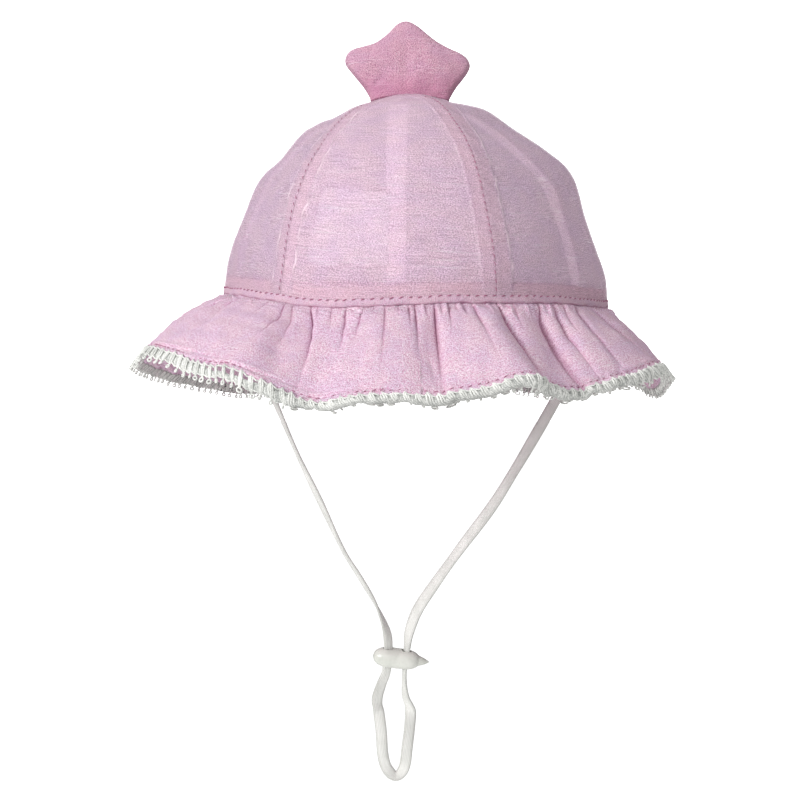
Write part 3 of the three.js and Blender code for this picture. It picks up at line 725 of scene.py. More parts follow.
def brim_degree(azimuth, distance):
    """Millimetres for one degree at a distance down the brim, which spreads as it falls."""
    return degree_length(azimuth) + distance * BRIM_SPREAD


def gather_relief(azimuth, along):
    """Height of the gathers over the brim's smooth section, in mm, and how deep in a crease each
    point is, from 0 to 1, which sets the painted shade along the creases."""
    distance = along * BRIM_CLOTH
    degree = brim_degree(azimuth, distance)
    fade_in = smoothstep(-1.0, 1.2, distance)
    sides = 1 - 0.7 * bell(np.abs(turn_between(azimuth, 0)) - 90, 16)
    relief = GATHER_ROLL * bell(distance, 9) * fade_in * sides
    crinkle = gather_crinkle(azimuth * degree, distance * 0.4) * bell(distance, 4.5)
    relief += GATHER_CRINKLE * crinkle * fade_in * sides
    for start, end, top, bottom, depth, width in BRIM_DENTS:
        place = start + (end - start) * np.clip((distance - top) / (bottom - top), 0, 1)
        shown = smoothstep(top - 4, top + 3, distance)
        shown *= 1 - smoothstep(bottom - 3, bottom + 5, distance)
        relief -= depth * bell(turn_between(azimuth, place) * degree, width) * shown
    crease = np.zeros(azimuth.shape)
    for place, lean, depth, width, reach, fall in GATHERS:
        near = np.abs(turn_between(azimuth, place)) < 20
        down = distance[near]
        offset = turn_between(azimuth[near], place + lean * lean_share(along[near])) * degree[near]
        spread = width * (0.42 + down / 34)
        fade = np.exp(-((down / (1.15 * reach)) ** 2.5)) * fade_in[near]
        valley = depth * (0.95 * np.exp(-np.abs(offset) / spread) + 0.35 * bell(offset, 1.6))
        # A fold also falls gently towards its crease from one side.
        gentle = np.where(offset * fall > 0, 3 + 2.6 * abs(fall), 0.7)
        slope = 1.9 * abs(fall) * np.exp(-np.abs(offset) / gentle) * smoothstep(0, 7, down)
        relief[near] -= valley * fade + slope * np.exp(-((down / (1.5 * reach)) ** 2.5))
        # How dark the painted shade along this crease is.
        line = min(1, 0.5 + 0.4 * depth) * bell(offset, 0.34 + 0.01 * down) * fade
        crease[near] = np.maximum(crease[near], line)
    return relief, crease


def brim_relief(azimuth, along):
    """Height of all the fine relief over the brim's smooth section, in mm."""
    distance = along * BRIM_CLOTH
    run = azimuth * brim_degree(azimuth, distance)
    lying = smoothstep(2, 12, distance)
    relief = gather_relief(azimuth, along)[0]
    relief += BRIM_WAVE * brim_wave(run, distance * 0.25) * lying
    relief += BRIM_CRINKLE * brim_crinkle(run, distance * 0.8) * lying
    from_edge = BRIM_CLOTH - distance
    relief += HEM_LIFT * (1 - smoothstep(HEM - 0.35, HEM + 0.45, from_edge))
    relief += HEM_RIDGE * bell(from_edge - HEM, 0.6)
    relief -= HEM_GROOVE * bell(from_edge - HEM_STITCH, 0.5)
    relief += HEM_RIPPLE * hem_ripple(run, distance * 0.3) * (1 - smoothstep(1.5, 6, from_edge))
    return relief


def brim_surface(azimuth, out):
    """The brim's upper face. out is in mm from the seam: below 0 it is the gathered edge that is
    tucked up behind the welt, and past BRIM_CLOTH it runs on along the lace."""
    azimuth, out = np.broadcast_arrays(np.asarray(azimuth, float), np.asarray(out, float))
    along = np.clip(out / BRIM_CLOTH, 0, 1)
    start = np.stack([np.zeros_like(azimuth), seam_rise(azimuth) - BRIM_BELOW_SEAM], -1)
    end = np.stack([edge_out(azimuth), edge_height(azimuth)], -1)
    chord = end - start
    above = unit(np.stack([-chord[..., 1], chord[..., 0]], -1))
    bulge = edge_bulge(azimuth)
    section = start + chord * along[..., None] + above * (bulge * arch(along))[..., None]
    dip = np.zeros(azimuth.shape)
    for place, lean, depth, across in BRIM_FOLDS:
        offset = turn_between(azimuth, place + lean * along)
        width = across * (0.7 + 0.6 * along)
        dip += depth * bell(offset, width) * np.sin(math.pi * (0.12 + 0.76 * along)) ** 1.5
    dip = dip * smoothstep(0, 0.25, along) - brim_relief(azimuth, along)
    section -= above * dip[..., None]
    # Past its edge it goes on in the direction of its last few hundredths.
    last = 0.03
    way = unit(chord * last - above * (bulge * arch(1 - last))[..., None])
    section += way * np.maximum(out - BRIM_CLOTH, 0)[..., None]
    tuck = np.maximum(-out, 0)
    section[..., 0] -= BRIM_TUCK * smoothstep(0, 1.6, tuck)
    section[..., 1] += tuck
    point = seam_point(azimuth, section[..., 0], 0)
    point[..., 2] = section[..., 1]
    return point


# ------------------------ materials
def srgb(red, green, blue):
    """A colour in linear light from 8-bit sRGB numbers."""
    values = [c / 255 for c in (red, green, blue)]
    return [c / 12.92 if c <= 0.04045 else ((c + 0.055) / 1.055) ** 2.4 for c in values] + [1]


class Nodes:
    """Short ways to add and join shader nodes."""

    def __init__(self, name):
        self.material = bpy.data.materials.new(name)
        self.material.use_nodes = True
        self.tree = self.material.node_tree
        self.tree.nodes.clear()

    def add(self, kind, inputs=None, **settings):
        node = self.tree.nodes.new("ShaderNode" + kind)
        for key, value in settings.items():
            setattr(node, key, value)
        for key, value in (inputs or {}).items():
            socket = node.inputs[key]
            if isinstance(value, bpy.types.NodeSocket):
                self.tree.links.new(value, socket)
            else:
                socket.default_value = value
        return node

    def cloth_place(self):
        """Place on the cloth: along it and across it, in mm."""
        return self.add("UVMap", uv_map="cloth").outputs["UV"]

    def place(self):
        """Place in the hat's frame, in metres."""
        return self.add("TexCoord").outputs["Object"]

    def math(self, operation, a, b=0.0, clamp=False):
        return self.add("Math", {0: a, 1: b}, operation=operation, use_clamp=clamp).outputs[0]

    def times(self, a, b):
        return self.math("MULTIPLY", a, b)

    def plus(self, a, b):
        return self.math("ADD", a, b)

    def noise(self, vector, size, detail=2.0, roughness=0.5):
        """Noise whose grains are this large, in the vector's own unit: one size or three."""
        size = size if isinstance(size, tuple) else (size,) * 3
        scaled = self.add("VectorMath", {0: vector, 1: tuple(1 / part for part in size)},
                          operation="MULTIPLY").outputs[0]
        return self.add("TexNoise", {"Vector": scaled, "Scale": 1.0, "Detail": detail,
                                     "Roughness": roughness}).outputs["Fac"]

    def ramp(self, value, low, high, to_low=0.0, to_high=1.0):
        return self.add("MapRange", {
            "Value": value, "From Min": low, "From Max": high, "To Min": to_low,
            "To Max": to_high}).outputs["Result"]

    def mix_colour(self, factor, a, b, blend="MIX"):
        return self.add("Mix", {"Factor": factor, "A": a, "B": b}, data_type="RGBA",
                        blend_type=blend).outputs["Result"]

    def mix_shader(self, factor, a, b):
        return self.add("MixShader", {0: factor, 1: a, 2: b}).outputs[0]

    def surface(self, colour, roughness, height, strength, depth, **more):
        """A principled shader whose bump follows height: depth is the bump's in metres, and more
        holds other inputs, with _ for a space in their names."""
        bump = self.add("Bump", {"Height": height, "Strength": strength, "Distance": depth})
        inputs = {"Base Color": colour, "Roughness": roughness, "Normal": bump.outputs[0]}
        inputs.update({key.replace("_", " "): value for key, value in more.items()})
        return self.add("BsdfPrincipled", inputs).outputs[0]

    def out(self, shader):
        self.add("OutputMaterial", {"Surface": shader})
        return self.material


def cloth_material(name, colour, deep, opacity, glow, lines=0.5, coarse=0.0,
                   plain=0.42, long=3.4, marks=None, pinker=None):
    """Thin crinkled slub cotton. colour and deep are its light and its dark threads, opacity is
    how solid one face of the cloth is, glow is how much light comes through it, lines and coarse
    are how strongly long and thick threads show, plain is how much of it has no long threads, long
    is their length in mm, marks is the colour that it takes where its "marks" are above 0 and
    pinker where they are below."""
    n = Nodes(name)
    uv = n.cloth_place()
    patches = n.ramp(n.noise(uv, (17, 9, 1), 1.0), plain, plain + 0.2, 0.1, 1.0)
    parts = [  # noise, share
        (n.times(n.math("SUBTRACT", n.noise(uv, (long, 0.36, 1), 0.0), 0.5), patches), lines),
        (n.math("SUBTRACT", n.noise(uv, (0.55, 0.33, 1), 1.0), 0.5), 0.8),
        (n.math("SUBTRACT", n.noise(uv, (0.36, 0.38, 1), 1.0), 0.5), 0.75),
        (n.math("SUBTRACT", n.noise(uv, (1.5, 0.55, 1), 1.0), 0.5), coarse),
    ]
    threads = 0.0
    for part, share in parts:
        threads = n.plus(threads, n.times(part, share))
    base = n.mix_colour(n.ramp(threads, -0.15, 0.15), deep, colour)
    # Short thick threads catch the light, and here and there a long one.
    fleck = n.ramp(n.noise(uv, (0.55, 0.34, 1), 1.0), 0.61, 0.72 - 0.1 * coarse)
    slub = n.ramp(n.noise(uv, (20, 0.5, 1), 0.0), 0.66, 0.74)
    slub = n.times(slub, n.times(patches, min(1, 2.2 * lines)))
    fleck = n.math("MAXIMUM", fleck, slub)
    base = n.mix_colour(n.times(fleck, 0.55 + 0.7 * coarse), base, FLECK_WHITE)
    cloud = n.ramp(n.noise(uv, (9, 8, 1)), 0.4, 0.62)
    base = n.mix_colour(cloud, base, CLOUD_TINT, "MULTIPLY")
    # The pieces' marks paint light and shade into the colour: shade in the brim's creases, along
    # the welt's lower edge and at the star's foot; on the crown pale edges and lighter bands that
    # are partly painted light.
    if marks:
        mark = n.add("Attribute", attribute_name="marks").outputs["Fac"]
        under = n.math("MULTIPLY", mark, -1.0, clamp=True)
        mark = n.math("MAXIMUM", mark, 0.0)
        base = n.mix_colour(n.times(mark, 0.85), base, marks)
        if pinker:
            base = n.mix_colour(n.times(under, 0.5), base, pinker)
    height = n.plus(threads, n.times(fleck, 0.2))
    cloth = n.surface(base, 0.82, height, strength=1.0, depth=0.0005, Specular_IOR_Level=0.25,
                      Sheen_Weight=0.12, Sheen_Roughness=0.5)
    if glow > 0:
        through = n.add("BsdfTranslucent", {"Color": base}).outputs[0]
        cloth = n.mix_shader(glow, cloth, through)
    if opacity < 1:
        # Light passes between the threads, and less where they are thick.
        gaps = n.ramp(threads, -0.2, 0.2, opacity - 0.14, opacity + 0.14)
        if marks:
            gaps = n.math("MAXIMUM", gaps, mark)
        cloth = n.mix_shader(gaps, n.add("BsdfTransparent").outputs[0], cloth)
    return n.out(cloth)


def yarn_material(name, colour, deep, strength=0.6):
    """Cotton yarn without its own UVs, with fine twisted fibres."""
    n = Nodes(name)
    fine = n.noise(n.place(), 0.00035, 2.0, 0.6)
    cloud = n.noise(n.place(), 0.004)
    tone = n.ramp(n.plus(n.times(fine, 0.65), n.times(cloud, 0.35)), 0.36, 0.62)
    base = n.mix_colour(tone, deep, colour)
    return n.out(n.surface(base, 0.8, fine, strength, depth=0.0002, Specular_IOR_Level=0.3,
                           Sheen_Weight=0.15))


def tape_material():
    """Flat woven tape: fine ribs along it and a herringbone of short threads."""
    n = Nodes("chin_tape")
    uv = n.cloth_place()
    parts = n.add("SeparateXYZ", {0: uv})
    along, across = parts.outputs[0], parts.outputs[1]
    from_middle = n.math("ABSOLUTE", across)
    rib = n.math("SINE", n.times(across, math.tau / TAPE_RIB))
    lean = n.plus(along, n.times(from_middle, TAPE_LEAN))
    pick = n.math("SINE", n.times(lean, math.tau / TAPE_PICK))
    height = n.plus(n.times(rib, 0.25), n.times(pick, 0.2))
    height = n.plus(height, n.times(n.noise(uv, (0.5, 0.3, 1), 2.0, 0.6), 0.9))
    tone = n.ramp(n.plus(height, n.noise(uv, (9, 5, 1))), 0.5, 1.35)
    base = n.mix_colour(tone, srgb(186, 187, 182), srgb(236, 235, 231))
    # Painted shade: both edges are darkened, as if the flat tape were round and turned away from
    # the light there.
    edge = n.ramp(from_middle, 1.1, 2.1)
    base = n.mix_colour(n.times(edge, 0.6), base, srgb(172, 173, 168))
    return n.out(n.surface(
        base, 0.8, height, strength=0.55, depth=0.00016, Specular_IOR_Level=0.3,
        Sheen_Weight=0.1, Subsurface_Weight=0.4, Subsurface_Radius=(0.002, 0.002, 0.002),
        Subsurface_Scale=1))


def plastic_material():
    """Moulded white plastic with a soft gloss and faint unevenness."""
    n = Nodes("stopper_plastic")
    cloud = n.noise(n.place(), 0.0045)
    base = n.mix_colour(n.ramp(cloud, 0.35, 0.65), srgb(196, 198, 190), srgb(212, 213, 206))
    rough = n.ramp(n.noise(n.place(), 0.0007), 0.3, 0.7, 0.26, 0.36)
    return n.out(n.surface(
        base, rough, cloud, strength=0.15, depth=0.0003, IOR=1.5, Specular_IOR_Level=0.5,
        Subsurface_Weight=0.15, Subsurface_Radius=(0.004, 0.004, 0.004), Subsurface_Scale=0.4,
        Coat_Weight=0.15, Coat_Roughness=0.2))


FLECK_WHITE = srgb(255, 247, 251)
CLOUD_TINT = srgb(249, 248, 255)
TAPE_RIB = 0.62  # mm between the tape's ribs
TAPE_PICK = 0.75  # mm between its cross threads
TAPE_LEAN = 0.8  # how far those lean for each mm from the tape's middle
# On the crown, marks is the pale colour of the allowance edges, partly a painted highlight, and
# pinker is the lighter tint over a second layer, partly painted light.
CROWN_LOOK = {"opacity": 0.62, "glow": 0.2, "marks": srgb(255, 233, 243),
              "pinker": srgb(255, 224, 236)}
# Painted shade: the side and back panels take a darker, greyer copy of the front panel's cloth, for
# the shade they lie in away from the key light.
crown_cloth = cloth_material("crown_cloth", srgb(241, 215, 232), srgb(187, 156, 175),
                             lines=0.45, **CROWN_LOOK)
front_cloth = cloth_material("crown_front_cloth", srgb(255, 227, 243), srgb(200, 166, 185),
                             lines=0.34, plain=0.3, long=8, **CROWN_LOOK)
seam_cloth = cloth_material("seam_cloth", srgb(255, 243, 249), srgb(255, 228, 239),
                            opacity=0.85, glow=0.35)
# The brim's marks colour is painted shade in its creases and along its hem stitching.
brim_cloth = cloth_material("brim_cloth", srgb(255, 236, 248), srgb(226, 173, 200),
                            opacity=0.94, glow=0.18, lines=0.3, coarse=0.42,
                            marks=srgb(176, 92, 136))
# The welt's marks colour is painted shade along its lower edge.
welt_cloth = cloth_material("welt_cloth", srgb(255, 232, 243), srgb(240, 190, 214),
                            opacity=0.97, glow=0.25, lines=0.2, marks=srgb(184, 96, 140))
# The star's marks colour is painted shade towards its foot.
star_cloth = cloth_material("star_cloth", srgb(230, 185, 202), srgb(178, 121, 147),
                            opacity=1, glow=0, lines=0.3, marks=srgb(200, 112, 152))
facing_cloth = cloth_material("facing_cloth", srgb(255, 200, 220), srgb(240, 176, 202),
                              opacity=1, glow=0.35)
label_cloth = cloth_material("label_cloth", srgb(250, 246, 249), srgb(236, 228, 234),
                             opacity=1, glow=0.5)
# The thread is darker than the cloth: partly its own pink, partly painted shade of the stitch
# holes.
pink_thread = yarn_material("pink_thread", srgb(178, 104, 136), srgb(128, 62, 94))
lace_yarn = yarn_material("lace_yarn", srgb(244, 244, 240), srgb(178, 180, 175), strength=0.9)
# Painted shade: the net is a greyer copy of the lace yarn, for the shade it lies in behind the
# leaves.
shaded_net_yarn = yarn_material("shaded_net_yarn", srgb(206, 207, 203), srgb(132, 134, 131), strength=0.9)
tape_cloth = tape_material()
stopper_plastic = plastic_material()


# ------------------------ chin strap and stopper
STRAP_LIE = [  # row of the route, turn towards the front in degrees, width, thickness
    (0, -12, 4.5, 1.1), (3, -24, 4.5, 1.1), (6, -30, 4.5, 1.1), (8, -28, 4.5, 1.1),
    (9, -14, 4.4, 1.3), (10, 24, 4.3, 1.4), (11, 62, 3.7, 1.5), (12, 74, 3.7, 1.5),
    (13, 68, 4.5, 1.1), (14, 78, 4.5, 1.0), (14.6, 60, 4.4, 1.1), (15, 82, 4.6, 1.0),
    (17, 90, 4.6, 1.0), (18.3, 70, 4.6, 1.0), (19, 40, 4.6, 1.0), (19.7, 70, 4.6, 1.0),
    (21, 92, 4.6, 1.0), (22.6, 88, 4.6, 1.0), (23.2, 52, 4.5, 1.1), (24, 40, 4.3, 1.2),
    (25, 24, 3.7, 1.6), (26, 44, 3.6, 1.5), (27, 50, 4.4, 1.1), (29, 60, 4.5, 1.0),
    (31, 52, 4.5, 1.0), (33, 64, 4.5, 1.0), (35, 46, 4.5, 1.0), (36.5, 18, 4.5, 1.0),
    (38, 0, 4.5, 1.0),
]
STRAP_STEP = 0.8
STRAP_SIDES = 20
STRAP_DRIFT = 7  # degrees by which it twists to and fro
STRAP_CUP = 0.14  # how far its edges curl up, mm
STRAP_MIDDLE = 0.86  # thickness of its middle as a share of its edges'


def strap_line():
    """The strap's centreline in mm, evenly spaced, and the row of the route at each point."""
    route = np.array(STRAP_ROUTE) / MM
    knots = curve_knots(route)
    rows = np.linspace(0, len(route) - 1, 6000)
    fine = along_rows(knots, route)(np.interp(rows, np.arange(len(route)), knots))
    along = chord_lengths(fine)
    marks = np.linspace(0, along[-1], int(along[-1] / STRAP_STEP) + 1)
    x, z = resampled(marks, along, fine).T
    return np.stack([x, np.zeros_like(x), z], -1), np.interp(marks, along, rows), marks


def add_strap():
    line, row, marks = strap_line()
    lie = np.array(STRAP_LIE)
    turn, width, thick = along_rows(lie[:, 0], lie[:, 1:])(row).T
    drift = wavy(4, 18, 60, seed=41)(marks, marks * 0)
    turn = np.radians(turn + STRAP_DRIFT * drift)[:, None]
    tangent = unit(np.gradient(line, axis=0))
    sideways = np.tile([0.0, 1.0, 0.0], (len(line), 1))
    broad = sideways * np.cos(turn) + np.cross(tangent, sideways) * np.sin(turn)
    thin = np.cross(broad, tangent)
    # A rounded oblong section, a little cupped, whose woven edges are fuller than its middle.
    c, s = np.cos(circle(STRAP_SIDES, 0.5)), np.sin(circle(STRAP_SIDES, 0.5))
    x = np.sign(c) * np.abs(c) ** 0.55
    y = np.sign(s) * np.abs(s) ** 0.7 * (STRAP_MIDDLE + (1 - STRAP_MIDDLE) * np.abs(x))
    cup = STRAP_CUP * x ** 2 * (1 + 0.5 * drift)[:, None]
    across = x * (width / 2)[:, None]
    up = y * (thick / 2)[:, None] + cup
    ring = line[:, None] + broad[:, None] * across[..., None] + thin[:, None] * up[..., None]
    verts = np.vstack([ring.reshape(-1, 3), line[0], line[-1]])
    faces = [ring_quads(len(line), STRAP_SIDES), end_fans(len(line), STRAP_SIDES)]
    place = np.stack([np.repeat(marks, STRAP_SIDES), across.ravel()], -1)
    place = np.vstack([place, [[marks[0], 0], [marks[-1], 0]]])
    strap = new_piece("chin_strap_tape", verts, faces, tape_cloth, "tape",
                      at_corners(place, faces), replaces="chin_strap")
    return strap, line, marks[-1]


STOPPER_TILT = math.radians(6.8)  # the -X end is the higher one
STOPPER_ROWS = (11, 12, 25, 26)  # rows of the strap's route above and below it, down and up
STOPPER_DROP = 0.0002  # its middle below the middle of those rows
STOPPER_HALF = 9.5
STOPPER_RADIUS = 4.2
STOPPER_WAIST = 0.05  # how far it is drawn in at its middle, as a share
NUB = [  # x, radius: the point at its right end
    (5.5, 0.0), (5.5, 2.2), (8.9, 2.05), (10.7, 1.45), (12.4, 0.62), (12.9, 0.4), (13.1, 0.0),
]
SLOT_HALF = (2.05, 1.65)  # half width and half depth of the strap's two slots
SLOT_REACH = 8  # how far they go above and below its middle
STOPPER_VOXEL = 0.00019
STOPPER_SMOOTHING = 14  # rounds


def revolved(profile, sides):
    """A closed body turned about X from rows of (x, radius), in mm, the first and last of them on
    the axis."""
    turn = circle(sides)
    rows = [(x, r) for x, r in profile if r > 0]
    verts = [np.stack([0 * turn + x, r * np.cos(turn), r * np.sin(turn)], -1) for x, r in rows]
    verts.append([[profile[0][0], 0, 0], [profile[-1][0], 0, 0]])
    faces = ring_quads(len(rows), sides)[:, [0, 3, 2, 1]].tolist()
    return np.vstack(verts), faces + end_fans(len(rows), sides)[:, ::-1].tolist()


def slot_tool(line, low, high, name):
    """A rounded slot round the strap between two heights, wide enough to clear it."""
    sides = 20
    turn = circle(sides)
    ring = np.stack([SLOT_HALF[0] * np.cos(turn), SLOT_HALF[1] * np.sin(turn), 0 * turn], -1)
    middles = line[(line[:, 2] >= low) & (line[:, 2] <= high)]
    verts = (middles[:, None] + ring).reshape(-1, 3)
    faces = ring_quads(len(middles), sides).tolist()
    ends = [list(range(sides)), list(range(len(verts) - sides, len(verts)))[::-1]]
    return plain_mesh(name, verts, faces + ends)


def bean_profile():
    """Rows of (x, radius) of the stopper's body."""
    rows = []
    for t in np.linspace(-1, 1, 41):
        fullness = max(0.0, 1 - abs(t) ** 2.9) ** 0.46
        waist = 1 - STOPPER_WAIST * bell(t - 0.05, 0.33)
        rows.append((STOPPER_HALF * t, STOPPER_RADIUS * fullness * waist))
    return rows


def add_stopper(line):
    """A bean with a pointed nub, cut by a slot for each stretch of the strap and rounded off."""
    ends = [STRAP_ROUTE[i] for i in STOPPER_ROWS]
    centre_x = sum(x for x, _ in ends) / len(ends)
    centre_z = (ends[0][1] + ends[1][1]) / 2 - STOPPER_DROP
    bean = plain_mesh("cord_stopper_bean", *revolved(bean_profile(), 48))
    cone = plain_mesh("stopper_nub_tool", *revolved(NUB, 24))
    for body in (bean, cone):
        body.rotation_euler = (0, STOPPER_TILT, 0)
        body.location = (centre_x, 0, centre_z)
    lowest = np.argmin(line[:, 2])
    low, high = centre_z / MM - SLOT_REACH, centre_z / MM + SLOT_REACH
    slots = [slot_tool(half, low, high, f"slot_tool_{i}")
             for i, half in enumerate((line[:lowest][::-1], line[lowest:]))]
    bpy.context.view_layer.update()
    for tool, operation in ((cone, "UNION"), (slots[0], "DIFFERENCE"), (slots[1], "DIFFERENCE")):
        modifier = bean.modifiers.new(operation, "BOOLEAN")
        modifier.operation = operation
        modifier.object = tool
        modifier.solver = "EXACT"
    remesh = bean.modifiers.new("remesh", "REMESH")
    remesh.mode = "VOXEL"
    remesh.voxel_size = STOPPER_VOXEL
    smooth = bean.modifiers.new("smooth", "SMOOTH")
    smooth.factor = 0.5
    smooth.iterations = STOPPER_SMOOTHING
    graph = bpy.context.evaluated_depsgraph_get()
    mesh = bpy.data.meshes.new_from_object(bean.evaluated_get(graph))
    mesh.transform(bean.matrix_world)
    mesh.materials.clear()
    for body in (bean, cone, *slots):
        bpy.data.objects.remove(body)
    return as_piece("stopper", mesh, stopper_plastic, replaces="cord_stopper")


strap, strap_path, strap_length = add_strap()
stopper = add_stopper(strap_path)
[tuple(p * MM) for p in strap_path]


# ------------------------ stitches
DASH_SIDES = 6
DASH_STEPS = np.linspace(0, 1, 6)


def dashes(starts, ends, normals, radius, sink=0.12, rise=0.16):
    """Short raised stitches from starts to ends, (n, 3) each, ducking into the cloth at both
    ends."""
    parts = Parts()
    arc = np.sin(math.pi * DASH_STEPS)
    lift = rise * arc ** 0.6 - sink * (1 - arc ** 0.4)
    thick = radius * (0.55 + 0.45 * arc ** 0.5)
    for start, end, normal in zip(starts, ends, normals):
        line = start + (end - start) * DASH_STEPS[:, None] + normal * lift[:, None]
        parts.add(*tube(line, thick, DASH_SIDES))
    return parts


def stitch_row(points, normals, count, length, radius, seed, closed, slant=0.0, **how):
    """A count of stitches evenly along points (n, 3), with small irregularities."""
    local = np.random.default_rng(seed)
    line = np.vstack([points, points[:1]]) if closed else points
    lifts = np.vstack([normals, normals[:1]]) if closed else normals
    along = chord_lengths(line)
    middles = (np.arange(count) + 0.5 + local.normal(0, 0.04, count)) * (along[-1] / count)
    halves = length / 2 * local.uniform(0.88, 1.1, count)
    normal = unit(resampled(middles, along, lifts))
    starts = resampled(middles - halves, along, line)
    ends = resampled(middles + halves, along, line)
    tilt = (slant + local.normal(0, 0.05, count))[:, None] * unit(np.cross(ends - starts, normal))
    return dashes(starts + tilt, ends - tilt, normal, radius, **how)


# ------------------------ crown
CROWN_THICKNESS = 0.45
PANEL_GAP = 0.008
PANEL_TOP_SHARE = 0.045  # share of the width at which the panels end
GRAIN_TURN = {"crown_front": -4, "crown_right": 3, "crown_left": -3,
              "crown_back_right": -5, "crown_back_left": 4}
PANEL_STEP = 1.35
PANEL_ROW_STEP = 0.68
ALLOWANCE_STEP = 2.0
ALLOWANCE_TOP_SHARE = 0.07
ALLOWANCE_THICKNESS = 0.4
ALLOWANCE_GAP = 0.12
EDGE_COLUMNS = np.array([  # distances of the columns beside a seam, mm
    PANEL_GAP, 0.3, 0.62, 1.0, 1.6, 2.4, 3.2, 3.65, 4.05, 4.4, 4.75, 5.1, 5.45, 5.9])


def panel_azimuths(first, last, share):
    """Azimuths of a panel's columns at rows of this share of the width."""
    narrow = (last - first) * min(degree_length(first), degree_length(last)) * share
    edge = EDGE_COLUMNS[:, None] * np.minimum(1, narrow / (2.3 * EDGE_COLUMNS[-1]))
    left = first + edge / (degree_length(first) * share)
    right = last - edge / (degree_length(last) * share)
    count = int((last - first) * degree_length((first + last) / 2) / PANEL_STEP)
    across = np.linspace(0, 1, count)[1:-1, None]
    return np.vstack([left, left[-1] + (right[-1] - left[-1]) * across, right[::-1]])


def add_panel(name, first, last):
    climbs, rows = climb_rows(PANEL_ROW_STEP, PANEL_TOP_SHARE)
    share = crown_profile(climbs)[0]
    azimuth = panel_azimuths(first, last, share)
    climb = np.broadcast_to(climbs, azimuth.shape)
    middle = (first + last) / 2
    u = (azimuth - middle) * degree_length(middle) * share
    v = np.broadcast_to(rows, azimuth.shape)
    c, s = math.cos(math.radians(GRAIN_TURN[name])), math.sin(math.radians(GRAIN_TURN[name]))
    # Each panel is cut from another place of the cloth.
    grain_u = u * c + v * s + 300 * (first % 7)
    grain_v = v * c - u * s + 170 * (last % 5)
    points = crown_surface(azimuth, climb)
    verts, faces, uv = cloth_shell(points, CROWN_THICKNESS, False, grain_u, grain_v)
    # Above 0 the marks paint pale lines along the allowances' edges: partly their thread showing
    # through, partly a painted highlight.
    edges = allowance_edges(azimuth, climb)
    # Below 0 the marks paint the cloth lighter and pinker over the allowances and the facing:
    # partly the second layer's colour, partly painted light.
    marks = np.tile((edges - doubled(azimuth, climb) * (1 - edges)).ravel(), 2)
    # The side and back panels get the darker copy of the cloth, which is painted shade.
    cloth = front_cloth if name == "crown_front" else crown_cloth
    return new_piece(name + "_cloth", verts, faces, cloth, "crown_cloth", uv, marks, replaces=name)


def add_allowances(name, seams):
    """The seam allowances inside the crown, which show through the cloth."""
    parts, uvs = Parts(), []
    climbs, marks = climb_rows(ALLOWANCE_STEP, ALLOWANCE_TOP_SHARE)
    climbs, marks = climbs[1:], marks[1:]
    share = crown_profile(climbs)[0]
    for line, before, after in seams:
        across = np.linspace(-before, after, 7)[:, None]
        azimuth = line + across / (degree_length(line) * share)
        climb = np.broadcast_to(climbs, azimuth.shape)
        points = crown_surface(azimuth, climb, -CROWN_THICKNESS - ALLOWANCE_GAP)
        u = np.broadcast_to(across + line, azimuth.shape)
        v = np.broadcast_to(marks, azimuth.shape)
        verts, faces, uv = cloth_shell(points, ALLOWANCE_THICKNESS, False, u, v)
        parts.add(verts, faces)
        uvs.append(uv.reshape(-1, 2))
    verts, faces = parts.arrays()
    return new_piece(name, verts, faces, seam_cloth, "crown_cloth", np.concatenate(uvs))


def add_seam_stitches():
    parts = Parts()
    for seam, (line, before, _) in enumerate(SEAMS):
        climb, stitches, count = seam_table[seam]
        climbs = np.interp(np.linspace(0, count, 4 * count + 1), stitches, climb)
        # They lie just beside the seam; where both allowances are pressed one way, on that side.
        shift = -0.5 if before > 1 else 0.6
        azimuth = line + shift / (degree_length(line) * crown_profile(climbs)[0])
        sink = SEAM_SINK * smoothstep(0.25, 0.6, np.linspace(0, 1, len(climbs)))
        points, normals = with_normal(lambda a, c: crown_surface(a, c, 0.1 - sink),
                                      azimuth, climbs, 0.3, 0.002)
        row = stitch_row(points, normals, count, length=1.25, radius=0.115, seed=50 + seam,
                         closed=False, slant=0.22)
        parts.add(*row.arrays())
    new_piece("seam_stitches", *parts.arrays(), pink_thread, "crown_cloth")


WELT_LOW = -0.4  # its lower edge over the seam line
WELT_HIGH = 1.95
WELT_BULGE = 0.26
WELT_THICKNESS = 0.4
WELT_COLUMNS = 900
WELT_ROWS = 10
CROWN_LEAN = 0.17  # mm that the crown leans in for each mm up from the seam
TURN_LENGTH = 1.37  # mean mm for one degree round the seam
BAND_PITCH = 3.0
BAND_SHARE = 0.93  # the stitches' place across the welt


def oval_length():
    """Azimuth against length round the seam's oval."""
    azimuth = np.linspace(-180, 180, 4001)
    return azimuth, chord_lengths(seam_point(azimuth, np.zeros_like(azimuth), 0))


oval_azimuth, oval_along = oval_length()
BAND_COUNT = int(oval_along[-1] // BAND_PITCH)
welt_wave = wavy(5, 4, 11, seed=61)


